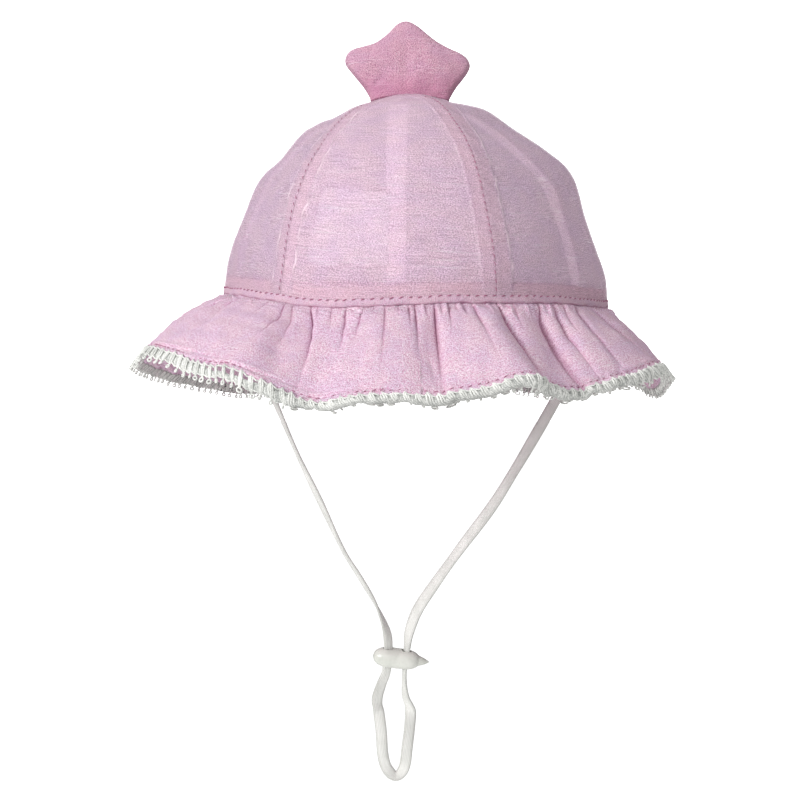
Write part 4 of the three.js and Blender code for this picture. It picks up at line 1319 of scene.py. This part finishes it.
def welt_surface(azimuth, share):
    """The strip over the seam; share runs from 0 at its lower to 1 at its upper edge. It is
    pulled down at each stitch and puffs up between them."""
    azimuth, share = np.broadcast_arrays(np.asarray(azimuth, float), np.asarray(share, float))
    run = np.interp(turn_between(azimuth, 0), oval_azimuth, oval_along)
    between = 0.5 + 0.5 * np.cos(math.tau * run / oval_along[-1] * BAND_COUNT)
    puff = WELT_BULGE * (0.84 + 0.16 * welt_wave(run, run * 0))
    puff = puff * (1 - 0.55 * (1 - between) * smoothstep(0.3, 0.9, share))
    scallop = 0.16 * between * share + 0.12 * welt_wave(run + 40, run * 0)
    rise = WELT_LOW + (WELT_HIGH - WELT_LOW) * share + scallop
    bulge = np.sin(math.pi * np.clip(share, 0, 1)) ** 0.6
    sides = 1 - 0.9 * bell(np.abs(turn_between(azimuth, 0)) - 90, 30)
    offset = -CROWN_LEAN * np.maximum(rise, 0) + (0.1 + puff * bulge) * sides
    return seam_point(azimuth, offset, rise)


def round_uv(azimuth, across):
    """Cloth coordinates of a closed strip: along it by its azimuths, a column, and across it by a
    row of mm, with the first column once more at the end."""
    run = np.concatenate([azimuth, [[180.0]]]) * TURN_LENGTH
    return np.broadcast_arrays(run, across)


def add_welt():
    azimuth = azimuths_round(WELT_COLUMNS)
    share = np.linspace(0, 1, WELT_ROWS)[None, :]
    points = welt_surface(azimuth, share)
    verts, faces, uv = cloth_shell(points, WELT_THICKNESS, True, *round_uv(azimuth, share * 4.2))
    along = np.interp(azimuth, oval_azimuth, oval_along)
    broken = np.clip(0.4 + 0.8 * edge_breaks(along, along * 0), 0, 1)
    # Painted shade: a broken dark pink line along the welt's lower edge, where it meets the brim.
    marks = 0.7 * bell(share * (WELT_HIGH - WELT_LOW) - 0.15, 0.3) * broken
    new_piece("crown_welt_cloth", verts, faces, welt_cloth, "crown_cloth", uv,
              np.tile(marks.ravel(), 2), replaces="crown_welt")


def add_band_stitches():
    azimuth = np.linspace(-180, 180, 1600, endpoint=False)
    share = np.full_like(azimuth, BAND_SHARE)
    points, normals = with_normal(welt_surface, azimuth, share, 0.3, 0.02)
    row = stitch_row(points, normals, BAND_COUNT, length=1.35, radius=0.17, seed=71, closed=True,
                     slant=0.2, rise=0.2)
    new_piece("band_stitches", *row.arrays(), pink_thread, "crown_cloth")


FACING_RISE = (-2.4, 6.2)  # its lower and upper edge over the seam line
FACING_ROWS = 9
FACING_COLUMNS = 360
FACING_IN = 1.05  # how far inside the crown's outer face it lies
FACING_THICKNESS = 1.2


def add_facing():
    azimuth = azimuths_round(FACING_COLUMNS)
    rise = np.linspace(*FACING_RISE, FACING_ROWS)[None, :]
    ripple = wavy(5, 7, 20, seed=81)
    run = azimuth * degree_length(azimuth)
    offset = -CROWN_LEAN * np.maximum(rise, 0) - FACING_IN + 0.1 * ripple(run, rise * 2)
    points = seam_point(azimuth + 0 * rise, offset, rise + 0.15 * ripple(run + 90, run * 0))
    uv_grid = round_uv(azimuth, rise - FACING_RISE[0])
    verts, faces, uv = cloth_shell(points, FACING_THICKNESS, True, *uv_grid)
    new_piece("crown_facing_cloth", verts, faces, facing_cloth, "crown_cloth", uv,
              replaces="crown_facing")


LABEL_TURN = (190.5, 224)
LABEL_RISE = (14.5, 47)
LABEL_STEPS = 36
LABEL_SIZE = (1.3, 36)  # its cloth's mm for one degree, and its height
LABEL_THICKNESS = 0.45
LABEL_GAP = 0.75  # between it and the crown's cloth


def add_label():
    low, high = climb_at(LABEL_RISE[0]), climb_at(LABEL_RISE[1])
    azimuth, climb = np.meshgrid(np.linspace(*LABEL_TURN, LABEL_STEPS),
                                 np.linspace(low, high, LABEL_STEPS), indexing="ij")
    points = crown_surface(azimuth, climb, -CROWN_THICKNESS - LABEL_GAP)
    u = (azimuth - LABEL_TURN[0]) * LABEL_SIZE[0]
    v = (climb - low) / (high - low) * LABEL_SIZE[1]
    verts, faces, uv = cloth_shell(points, LABEL_THICKNESS, False, u, v)
    return new_piece("blank_label", verts, faces, label_cloth, "label", uv, replaces="label")


crown_pieces = [add_panel(*row) for row in PANELS]
allowances = add_allowances("seam_allowances", SEAMS[:BACK_SEAM] + SEAMS[BACK_SEAM + 1:])
back_allowance = add_allowances("back_seam_allowance", SEAMS[BACK_SEAM:BACK_SEAM + 1])
add_seam_stitches()
add_welt()
add_band_stitches()
add_facing()
label = add_label()


# ------------------------ brim
BRIM_THICKNESS = 0.5
BRIM_FRONT = 100  # finer columns up to this azimuth on either side
BRIM_STEP = 0.46  # degrees between columns there
BRIM_STEP_BEHIND = 0.8
HEM_PITCH = 2.6
CREASE_COLUMNS = (-0.66, -0.4, -0.19, 0, 0.19, 0.4, 0.66)  # mm to either side of a gather
CREASE_CLEAR = 0.16  # degrees beside those with no other column
LEAST_STEP = 0.06  # degrees between any two columns
BRIM_ROWS = [  # from, to, mm down the brim from the seam, and how many rows
    (-2.4, 0, 3), (0, 9, 14), (9, 36.2, 16),
]
HEM_ROWS = (36.2, BRIM_CLOTH, 11)


def brim_columns():
    """Azimuths of the brim's columns at the seam, closer together at the gathers of the front,
    and how far each leans, in degrees."""
    turns = list(np.arange(-BRIM_FRONT, BRIM_FRONT, BRIM_STEP))
    turns += list(np.arange(BRIM_FRONT, 360 - BRIM_FRONT, BRIM_STEP_BEHIND))
    for place in GATHERS[:, 0]:
        place = turn_between(place, 0)
        if abs(place) < BRIM_FRONT - 1:
            offsets = np.array(CREASE_COLUMNS) / degree_length(place)
            clear = offsets[-1] + CREASE_CLEAR
            turns = [t for t in turns if abs(turn_between(t, place)) > clear]
            turns += list(place + offsets)
    turns = np.sort(np.array(turns) % 360)
    turns = turns[np.diff(turns, append=turns[0] + 360) > LEAST_STEP]
    order = np.argsort(GATHERS[:, 0] % 360)
    lean = np.interp(turns, GATHERS[order, 0] % 360, GATHERS[order, 1], period=360)
    return turns[:, None], lean[:, None]


def add_brim():
    """The brim's cloth, its rows from the edge up, and the length of its edge in mm."""
    rows = [np.linspace(*row, endpoint=False) for row in BRIM_ROWS]
    out = np.concatenate(rows + [np.linspace(*HEM_ROWS)])[None, ::-1]
    share = np.clip(out / BRIM_CLOTH, 0, 1)
    turns, lean = brim_columns()
    azimuth = turns + lean * lean_share(share)
    points = brim_surface(azimuth, out)
    edge_length = chord_lengths(np.vstack([points[:, 0], points[:1, 0]]))
    u, v = np.broadcast_arrays(edge_length[:, None], BRIM_CLOTH - out)
    verts, faces, uv = cloth_shell(points, BRIM_THICKNESS, True, u, v)
    # Painted shade: the brim's colour darkens to a deep pink along the gathers' creases and along
    # the hem's stitching.
    marks = 0.8 * gather_relief(azimuth, np.broadcast_to(share, azimuth.shape))[1]
    marks += 0.1 * bell(BRIM_CLOTH - HEM_STITCH - out, 0.45)
    marks = np.tile(np.clip(marks, 0, 1).ravel(), 2)
    piece = new_piece("brim_cloth_ruffle", verts, faces, brim_cloth, "brim_cloth", uv, marks,
                      replaces="brim")
    return piece, edge_length[-1]


def brim_frame(azimuth, out):
    """Points of the brim's upper face and its normals, which point up."""
    point, normal = with_normal(brim_surface, azimuth, out, 0.2, 0.15)
    return point, np.where(normal[:, 2:] < 0, -normal, normal)


def add_hem_stitches():
    azimuth = np.linspace(-180, 180, 2400, endpoint=False)
    points, normals = brim_frame(azimuth, np.full_like(azimuth, BRIM_CLOTH - HEM_STITCH))
    count = int(edge_along[-1] // HEM_PITCH)
    row = stitch_row(points, normals, count, length=1.2, radius=0.12, seed=91, closed=True,
                     slant=0.2, rise=0.22)
    return new_piece("hem_stitches", *row.arrays(), pink_thread, "brim_cloth")


# ------------------------ lace
LACE_PITCH = 3.25
LACE_CURL = [  # azimuth, how far the lace turns under, in degrees
    (-180, 10), (-120, 5), (-90, 0), (-62, 0), (-40, 10), (-30, 30), (-25, 45), (-20, 84),
    (-17, 104), (-10, 106), (-2, 102), (5, 106), (10, 108), (13, 98), (16, 86), (20, 84),
    (24, 106), (31, 108), (37, 92), (43, 40), (50, 10), (75, 0), (95, -5), (130, 10),
]
LACE_WAVE = 9  # degrees by which it curls more and less
LACE_BEND = (0.3, 2.0)  # mm past the cloth's edge where it starts and stops bending
LACE_HOLES = (-30, 5)  # azimuth and spread where it is open just below the rail
LACE_EVEN = (88, 16)  # azimuth and spread where its lower border is even
lace_curl = around_table(LACE_CURL, 1)
lace_wave = wavy(5, 7, 16, seed=101)


def edge_table():
    """Azimuth against length along the brim's edge, in mm."""
    azimuth = np.linspace(-180, 180, 4001)
    return azimuth, chord_lengths(brim_surface(azimuth, BRIM_CLOTH))


edge_azimuth, edge_along = edge_table()


def bent(past, curl):
    """How far on and how far under a strip gets that turns by the angle curl on its way."""
    start, end = LACE_BEND
    rate = np.where(np.abs(curl) < 0.01, 0.01, curl) / (end - start)
    arc = rate * np.clip(past - start, 0, end - start)
    rest = np.maximum(past - end, 0)
    along = np.minimum(past, start) + np.sin(arc) / rate + rest * np.cos(arc)
    return along, (1 - np.cos(arc)) / rate + rest * np.sin(arc)


def edge_turn(run):
    """The azimuth at a length along the brim's edge."""
    return np.interp(run % edge_along[-1], edge_along, edge_azimuth)


def near_turn(run, place):
    """1 where the run along the edge reaches a place's azimuth, falling to 0 over its spread."""
    return bell(turn_between(edge_turn(run), place[0]), place[1])


def lace_points(run, reach, height):
    """Points of the lace and its normals, with their last axis added to the shape of the three:
    run along the edge in mm, reach past the cloth's edge (below 0 it lies on the cloth) and
    height over it."""
    grid = np.broadcast_arrays(run, reach, height)
    run, reach, height = (values.ravel() for values in grid)
    azimuth = edge_turn(run)
    on_cloth, normal = brim_frame(azimuth, BRIM_CLOTH + np.minimum(reach, -0.05))
    edge = brim_surface(azimuth, BRIM_CLOTH)
    way = unit(brim_surface(azimuth, BRIM_CLOTH + 1) - edge)
    turn = np.radians(lace_curl(azimuth) + LACE_WAVE * lace_wave(run, run * 0))
    along, under = bent(np.maximum(reach, 0), turn)
    beyond = edge + way * along[:, None] - normal * under[:, None]
    base = np.where(reach[:, None] < 0, on_cloth, beyond)
    shape = grid[0].shape + (3,)
    return (base + normal * height[:, None]).reshape(shape), normal.reshape(shape)


LACE_LEAVES = [  # shift along in motifs, top, bottom, lean, half width, height, strands, radius
    (0.0, -0.7, 4.5, 2.3, 0.72, 0.4, 3, 0.35),
    (0.5, 0.1, 3.9, 2.3, 0.7, -0.34, 3, 0.31),
]
LEAF_STEPS = np.linspace(0, 1, 8)
LEAF_SIDES = 5


def add_leaves(parts, motifs, pitch, local):
    """Slanted leaves of crochet, each a bundle of yarns that starts in a point on the cloth,
    spreads and ends in a point past the edge."""
    for row, (shift, top, bottom, lean, half, height, strands, radius) in enumerate(LACE_LEAVES):
        starts = (np.arange(motifs) + shift + local.normal(0, 0.05, motifs)) * pitch
        open_here = near_turn(starts, LACE_HOLES)
        tip = top + local.normal(0, 0.12, motifs) + (1.6 * open_here if row else 0)
        foot = bottom + local.normal(0, 0.15, motifs) - near_turn(starts, LACE_EVEN)
        fat = half * local.uniform(0.85, 1.15, motifs) * (1 - 0.5 * open_here)
        spread = np.linspace(-1, 1, strands)[:, None]
        swell = np.sin(math.pi * LEAF_STEPS ** 0.8) ** 0.7
        starts, tip, foot, fat = (x[:, None, None] for x in (starts, tip, foot, fat))
        run = starts + lean * (LEAF_STEPS - 0.5) + fat * spread * swell
        reach = tip + (foot - tip) * LEAF_STEPS
        lift = height * (1 - 0.6 * LEAF_STEPS) + 0.2 * (1 - spread ** 2) * swell
        points, normals = lace_points(run, reach, lift + 0.08 * np.sign(spread))
        thick = radius * (0.45 + 0.55 * np.sin(math.pi * LEAF_STEPS) ** 0.5)
        lines = (-1, len(LEAF_STEPS), 3)
        parts.add_tubes(points.reshape(lines), normals.reshape(lines), thick, LEAF_SIDES)


RING_RADIUS = 0.6
RING_YARN = (0.31, 6)  # radius and sides
RING_STEPS = 8


def add_rings(parts, motifs, pitch, local):
    """A small ring of yarn at each leaf's lower point."""
    _, _, bottom, lean = LACE_LEAVES[0][:4]
    turn = circle(RING_STEPS)
    middle = (np.arange(motifs) * pitch + 0.5 * lean + local.normal(0, 0.12, motifs))[:, None]
    size = RING_RADIUS * local.uniform(0.8, 1.15, motifs)[:, None]
    even = near_turn(middle, LACE_EVEN)
    reach = bottom + 0.5 - 1.4 * even + size * (1 - 0.3 * even) * np.sin(turn)
    height = 0.16 * np.cos(turn) * local.choice([-1, 1], (motifs, 1)) + 0.15
    points, normals = lace_points(middle + size * np.cos(turn), reach, height)
    parts.add_tubes(points, normals, *RING_YARN, closed=True)


LACE_STRANDS = [  # phase of its sway along, reach and its swing, height and its swing
    (0, 0.1, 0.22, 0.25, 0.2),  # the rail on the cloth's edge
    (2, 3.4, -0.3, 0, -0.2),  # the strand that runs through the leaves
]
STRAND_STEPS = 8  # a motif
STRAND_SWAY = 0.2
STRAND_YARN = (0.26, 5)  # radius and sides
NET_STEPS = 4  # a motif
NET_ROWS = 6
NET_FOOT = 3.5  # how far it reaches past the cloth's edge
NET_THICKNESS = 0.25


def add_strands(parts, motifs, pitch):
    """The strands that run all the way round."""
    phase = np.arange(motifs * STRAND_STEPS) / STRAND_STEPS
    turn = math.tau * phase
    for sway, reach, swing, height, rise in LACE_STRANDS:
        run = phase * pitch + STRAND_SWAY * np.sin(turn + sway)
        points, normals = lace_points(run, reach + swing * np.sin(turn),
                                      rise * np.cos(turn) + height)
        parts.add(*tube(points, *STRAND_YARN, closed=True, across=normals))


def add_net(motifs, pitch):
    """The close net behind the leaves, as one thin strip in a greyer copy of the lace yarn, which
    is painted shade.
    """
    run = (np.arange(motifs * NET_STEPS) / NET_STEPS * pitch)[:, None]
    top = 0.2 + 1.7 * near_turn(run, LACE_HOLES)
    reach = top + (NET_FOOT - top) * np.linspace(0, 1, NET_ROWS)
    points = lace_points(run, reach, -0.12)[0]
    flat = np.zeros((len(run) + 1, NET_ROWS))
    verts, faces, _ = cloth_shell(points, NET_THICKNESS, True, flat, flat)
    return new_piece("lace_net", verts, faces, shaded_net_yarn, "lace")


def add_lace():
    motifs = int(round(edge_along[-1] / LACE_PITCH))
    pitch = edge_along[-1] / motifs
    parts = Parts()
    local = np.random.default_rng(103)
    add_strands(parts, motifs, pitch)
    add_leaves(parts, motifs, pitch, local)
    add_rings(parts, motifs, pitch, local)
    lace = new_piece("lace_edging", *parts.arrays(), lace_yarn, "lace", replaces="lace_trim")
    return lace, add_net(motifs, pitch)


brim, brim_edge_length = add_brim()
hem_stitches = add_hem_stitches()
lace, lace_net = add_lace()


# ------------------------ star
STAR_HALF = 7.6  # half of its thickness
STAR_CENTRE = np.array([-3.0, 84.0])
STAR_CELL = 0.5  # of the grid on which its swelling is worked out
STAR_STEPS = 160  # points of its outline
STAR_FOOT_STEPS = 36
STAR_RINGS = 34
STAR_SUNK = 9  # how far it goes on below its foot for the swelling
STAR_SEAT = 0.28  # its foot above the crown
STAR_PINCH = 0.06  # share of the way in over which it swells from its seam
STAR_CORNERS = [  # x, height of the inner corners and the waist, where its seam puckers
    (-15.2, 95.7), (8.0, 95.6), (-16.9, 77.5), (13.0, 77.0),
]
SEAM_PUCKERS = 150 / 2.7  # how many lie round its seam, about one every 2 mm


def star_curve():
    """The star's outline, smoothed, from its right foot over the tips to its left foot."""
    knots = curve_knots(STAR_OUTLINE)
    fine = along_rows(knots, STAR_OUTLINE)(np.linspace(0, knots[-1], 800))
    along = chord_lengths(fine)
    return resampled(np.linspace(0, along[-1], STAR_STEPS), along, fine)


def inside(points, outline):
    """Which points (n, 2) lie inside a closed outline (m, 2)."""
    x, y = points.T[:, :, None]
    x0, y0 = outline.T
    x1, y1 = np.roll(outline, -1, 0).T
    crosses = (y0 > y) != (y1 > y)
    at = x0 + (y - y0) * (x1 - x0) / np.where(y1 == y0, 1e-9, y1 - y0)
    return (crosses & (x < at)).sum(1) % 2 == 1


def stuffed_height(outline):
    """A soap-film swelling inside the outline: grid corners and heights from 0 to 1."""
    low, high = outline.min(0) - 1, outline.max(0) + 1
    xs, ys = (np.arange(low[k], high[k], STAR_CELL) for k in range(2))
    grid = np.stack(np.meshgrid(xs, ys, indexing="ij"), -1)
    within = inside(grid.reshape(-1, 2), outline).reshape(grid.shape[:2])
    film = np.zeros(grid.shape[:2])
    for _ in range(1500):
        beside = sum(np.roll(film, step, axis) for axis in (0, 1) for step in (1, -1))
        film = np.where(within, beside / 4 + 0.01, 0)
    return xs, ys, film / film.max()


def sample(xs, ys, field, x, y):
    """A grid's values read between its corners."""
    fx = np.clip((x - xs[0]) / STAR_CELL, 0, len(xs) - 1.001)
    fy = np.clip((y - ys[0]) / STAR_CELL, 0, len(ys) - 1.001)
    i, j = fx.astype(int), fy.astype(int)
    a, b = fx - i, fy - j
    return ((1 - a) * (1 - b) * field[i, j] + a * (1 - b) * field[i + 1, j]
            + (1 - a) * b * field[i, j + 1] + a * b * field[i + 1, j + 1])


def dome_top(x, y):
    """Height of the crown's top under a point near the apex."""
    fine = np.linspace(0.5, 1, 600)
    share, height = crown_profile(fine)
    reach = np.hypot((x - APEX_SHIFT) / HALF_WIDTH, y / HALF_LENGTH)
    return np.interp(-reach, -share, height * CROWN_HEIGHT)


STAR_SEWN = (75.5, 80)  # heights between which its foot gives way to its seam
STAR_WAVE = 0.4
STAR_CREASE = 0.05
STAR_DENT = (-3.8, 83, 0.7)  # x, height, depth
STAR_PUCKER = 0.14
STAR_LEAST = (0.25, 0.12)  # half its thickness at the seam, as sewn and at the very least
star_wave = wavy(5, 12, 26, seed=111)
star_crease = wavy(5, 3.2, 7, seed=112)


def star_half(side, x, z, rings, swell):
    """Half of the star's thickness on its front (-1) or back (1)."""
    half = STAR_LEAST[0] + (STAR_HALF - STAR_LEAST[0]) * swell
    half = half + STAR_WAVE * star_wave(x + 40 * side, z) * swell
    half = half + STAR_CREASE * star_crease(x, z + 30 * side) * np.sqrt(swell)
    dent_x, dent_z, depth = STAR_DENT
    half = half - depth * bell(x - dent_x, 2.6) * bell(z - dent_z, 7) * swell
    for corner_x, corner_z in STAR_CORNERS:
        away = np.hypot(x - corner_x, z - corner_z)
        ripple = np.sin(7 * np.arctan2(z - corner_z, x - corner_x) + side)
        half = half + STAR_PUCKER * ripple * bell(away - 3.4, 2.6) * np.sqrt(swell)
    around = np.linspace(0, SEAM_PUCKERS, x.shape[1])
    near_edge = bell(1 - rings, 0.16) * smoothstep(1.0, 0.93, rings)
    half = half + STAR_PUCKER * np.sin(math.tau * around + side) * near_edge
    return np.maximum(half, STAR_LEAST[1])


def add_star():
    """Two padded faces sewn together, as rings from the outline in to a middle point each."""
    sides = star_curve()
    foot = np.linspace(sides[-1], sides[0], STAR_FOOT_STEPS + 1)[1:-1]
    outline = np.vstack([sides, foot])
    count = len(outline)
    # The cushion goes on below its foot, so that it is still thick where it is sewn on.
    is_foot = np.zeros(count, bool)
    is_foot[len(sides) - 1:] = True
    is_foot[0] = True
    film = stuffed_height(outline - np.outer(is_foot, [0, STAR_SUNK]))
    rings = 1 - np.linspace(0, 1, STAR_RINGS)[:-1, None] ** 1.35
    x, z = (rings * (outline[:, k] - STAR_CENTRE[k]) + STAR_CENTRE[k] for k in range(2))
    # The two faces are pinched together along the seam, but not where the foot is sewn on.
    near = np.clip(1 - (1 - rings) / STAR_PINCH, 0, 1) * smoothstep(*STAR_SEWN, z)
    swell = sample(*film, x, z) ** 0.23 * np.sqrt(1 - near ** 2)
    verts = []
    for side in (-1, 1):
        y = side * star_half(side, x, z, rings, swell)
        drop = (dome_top(x[0], y[0]) + STAR_SEAT - z[0]) * np.exp(-9 * (1 - rings) ** 0.9)
        face = np.stack([x, y, np.where(is_foot, z + drop, z)], -1)
        verts += [face.reshape(-1, 3), [[STAR_CENTRE[0], side * (STAR_HALF - 0.6), STAR_CENTRE[1]]]]
    verts = np.vstack(verts)
    per_side = len(rings) * count + 1
    quads = ring_quads(len(rings), count)
    k = np.arange(count)
    t = (k + 1) % count
    last = (len(rings) - 1) * count
    fan = np.stack([last + k, last + t, np.full(count, per_side - 1)], -1)
    rim = np.stack([k, k + per_side, t + per_side, t], -1)
    faces = [np.concatenate([quads, (quads + per_side)[:, ::-1], rim]),
             np.concatenate([fan, (fan + per_side)[:, ::-1]])]
    # The cloth's own place runs on where the sides turn away from the front.
    place = verts[:, [0, 2]]
    away = place - STAR_CENTRE
    away /= np.maximum(np.linalg.norm(away, axis=1, keepdims=True), 1)
    place = place + 0.8 * away * (STAR_HALF - np.abs(verts[:, 1:2]))
    # Painted shade: the star's cloth darkens towards its foot.
    marks = 0.4 * smoothstep(86, 77, verts[:, 2])
    star = new_piece("star_cushion", verts, faces, star_cloth, "star_cloth",
                     at_corners(place, faces), marks, replaces="star_topknot")


add_star()


# ------------------------ each panel's width across its middle, worked out and not used
for piece, (_, first, last) in zip(crown_pieces, PANELS):
    width = (last - first) * float(degree_length((first + last) / 2)) * MM


# ------------------------ stage and light
FLOOR = -0.27  # its height; this and the stage's other lengths are in metres
FLOOR_RADIUS = 1.8
SWEEP_RADIUS = 0.9
SWEEP_STEPS = 12
BACKDROP_TOP = 3.2
BACKDROP_SIDES = 64


def stage_material():
    n = Nodes("studio_paper")
    base = n.mix_colour(n.noise(n.place(), 0.6), srgb(250, 250, 250), srgb(255, 255, 255))
    paper = n.add("BsdfPrincipled", {
        "Base Color": base, "Roughness": 0.95, "Specular IOR Level": 0.1,
        "Emission Color": (1, 1, 1, 1), "Emission Strength": 1.0})
    return n.out(paper.outputs[0])


def add_stage():
    """A pale round floor that sweeps up into a backdrop on all sides. Only the camera sees it, so
    that it sends no light back to the hat."""
    sweep = np.linspace(0, math.pi / 2, SWEEP_STEPS + 1)
    radius = np.append(FLOOR_RADIUS + SWEEP_RADIUS * np.sin(sweep), FLOOR_RADIUS + SWEEP_RADIUS)
    height = np.append(FLOOR + SWEEP_RADIUS * (1 - np.cos(sweep)), BACKDROP_TOP)
    turn = circle(BACKDROP_SIDES)
    rings = [np.stack([r * np.cos(turn), r * np.sin(turn), z + 0 * turn], -1)
             for r, z in zip(radius, height)]
    faces = [list(range(BACKDROP_SIDES)), *ring_quads(len(rings), BACKDROP_SIDES).tolist()]
    mesh = bpy.data.meshes.new("backdrop")
    mesh.from_pydata(np.vstack(rings).tolist(), [], faces)
    mesh.polygons.foreach_set("use_smooth", [True] * len(faces))
    mesh.materials.append(stage_material())
    backdrop = placed("backdrop", mesh)
    for ray in ("diffuse", "glossy", "transmission", "volume_scatter", "shadow"):
        setattr(backdrop, "visible_" + ray, False)


def add_light(name, place, target, size, watts, only=()):
    """A round soft light; with only, it lights nothing but those pieces."""
    data = bpy.data.lights.new(name, "AREA")
    data.shape = "DISK"
    data.size = size
    data.energy = watts
    lamp = placed(name, data)
    lamp.location = place
    aim(lamp, Vector(target) - Vector(place))
    lamp.visible_camera = False
    if only:
        lit = bpy.data.collections.new(name + "_lit")
        for piece in only:
            lit.objects.link(piece)
        lamp.light_linking.receiver_collection = lit


WORLD_LOBES = [  # direction that the light comes from, its strength there
    ((0, -1, 0), 0.66), ((0, 0, -1), 1.14), ((0, 0, 1), 0.87),
]


def add_world():
    """A white surround of broad soft lights, one round each lobe's direction."""
    world = bpy.data.worlds.new("studio")
    world.use_nodes = True
    tree = world.node_tree
    place = tree.nodes.new("ShaderNodeTexCoord").outputs["Generated"]
    background = tree.nodes["Background"]
    background.inputs["Color"].default_value = (1, 1, 1, 1)

    def node(kind, operation, first, second):
        """A math node of first, a socket, and second, a socket or a value."""
        made = tree.nodes.new(kind)
        made.operation = operation
        tree.links.new(first, made.inputs[0])
        if isinstance(second, bpy.types.NodeSocket):
            tree.links.new(second, made.inputs[1])
        else:
            made.inputs[1].default_value = second
        return made

    total = None
    for direction, strength in WORLD_LOBES:
        lobe = tuple(strength * part for part in direction)
        dot = node("ShaderNodeVectorMath", "DOT_PRODUCT", place, lobe).outputs["Value"]
        light = node("ShaderNodeMath", "MAXIMUM", dot, 0).outputs[0]
        total = node("ShaderNodeMath", "ADD", total, light).outputs[0] if total else light
    tree.links.new(total, background.inputs["Strength"])
    bpy.context.scene.world = world


add_stage()
add_world()
add_light("key", (-0.9, -0.8, 0.35), target=(0, 0, 0.01), size=0.5, watts=11.6)
add_light("inside", (0, -0.01, 0), target=(0, 0.08, 0.03), size=0.02, watts=0.13,
          only=[label, back_allowance, allowances])
bpy.context.scene.view_settings.view_transform = "Standard"
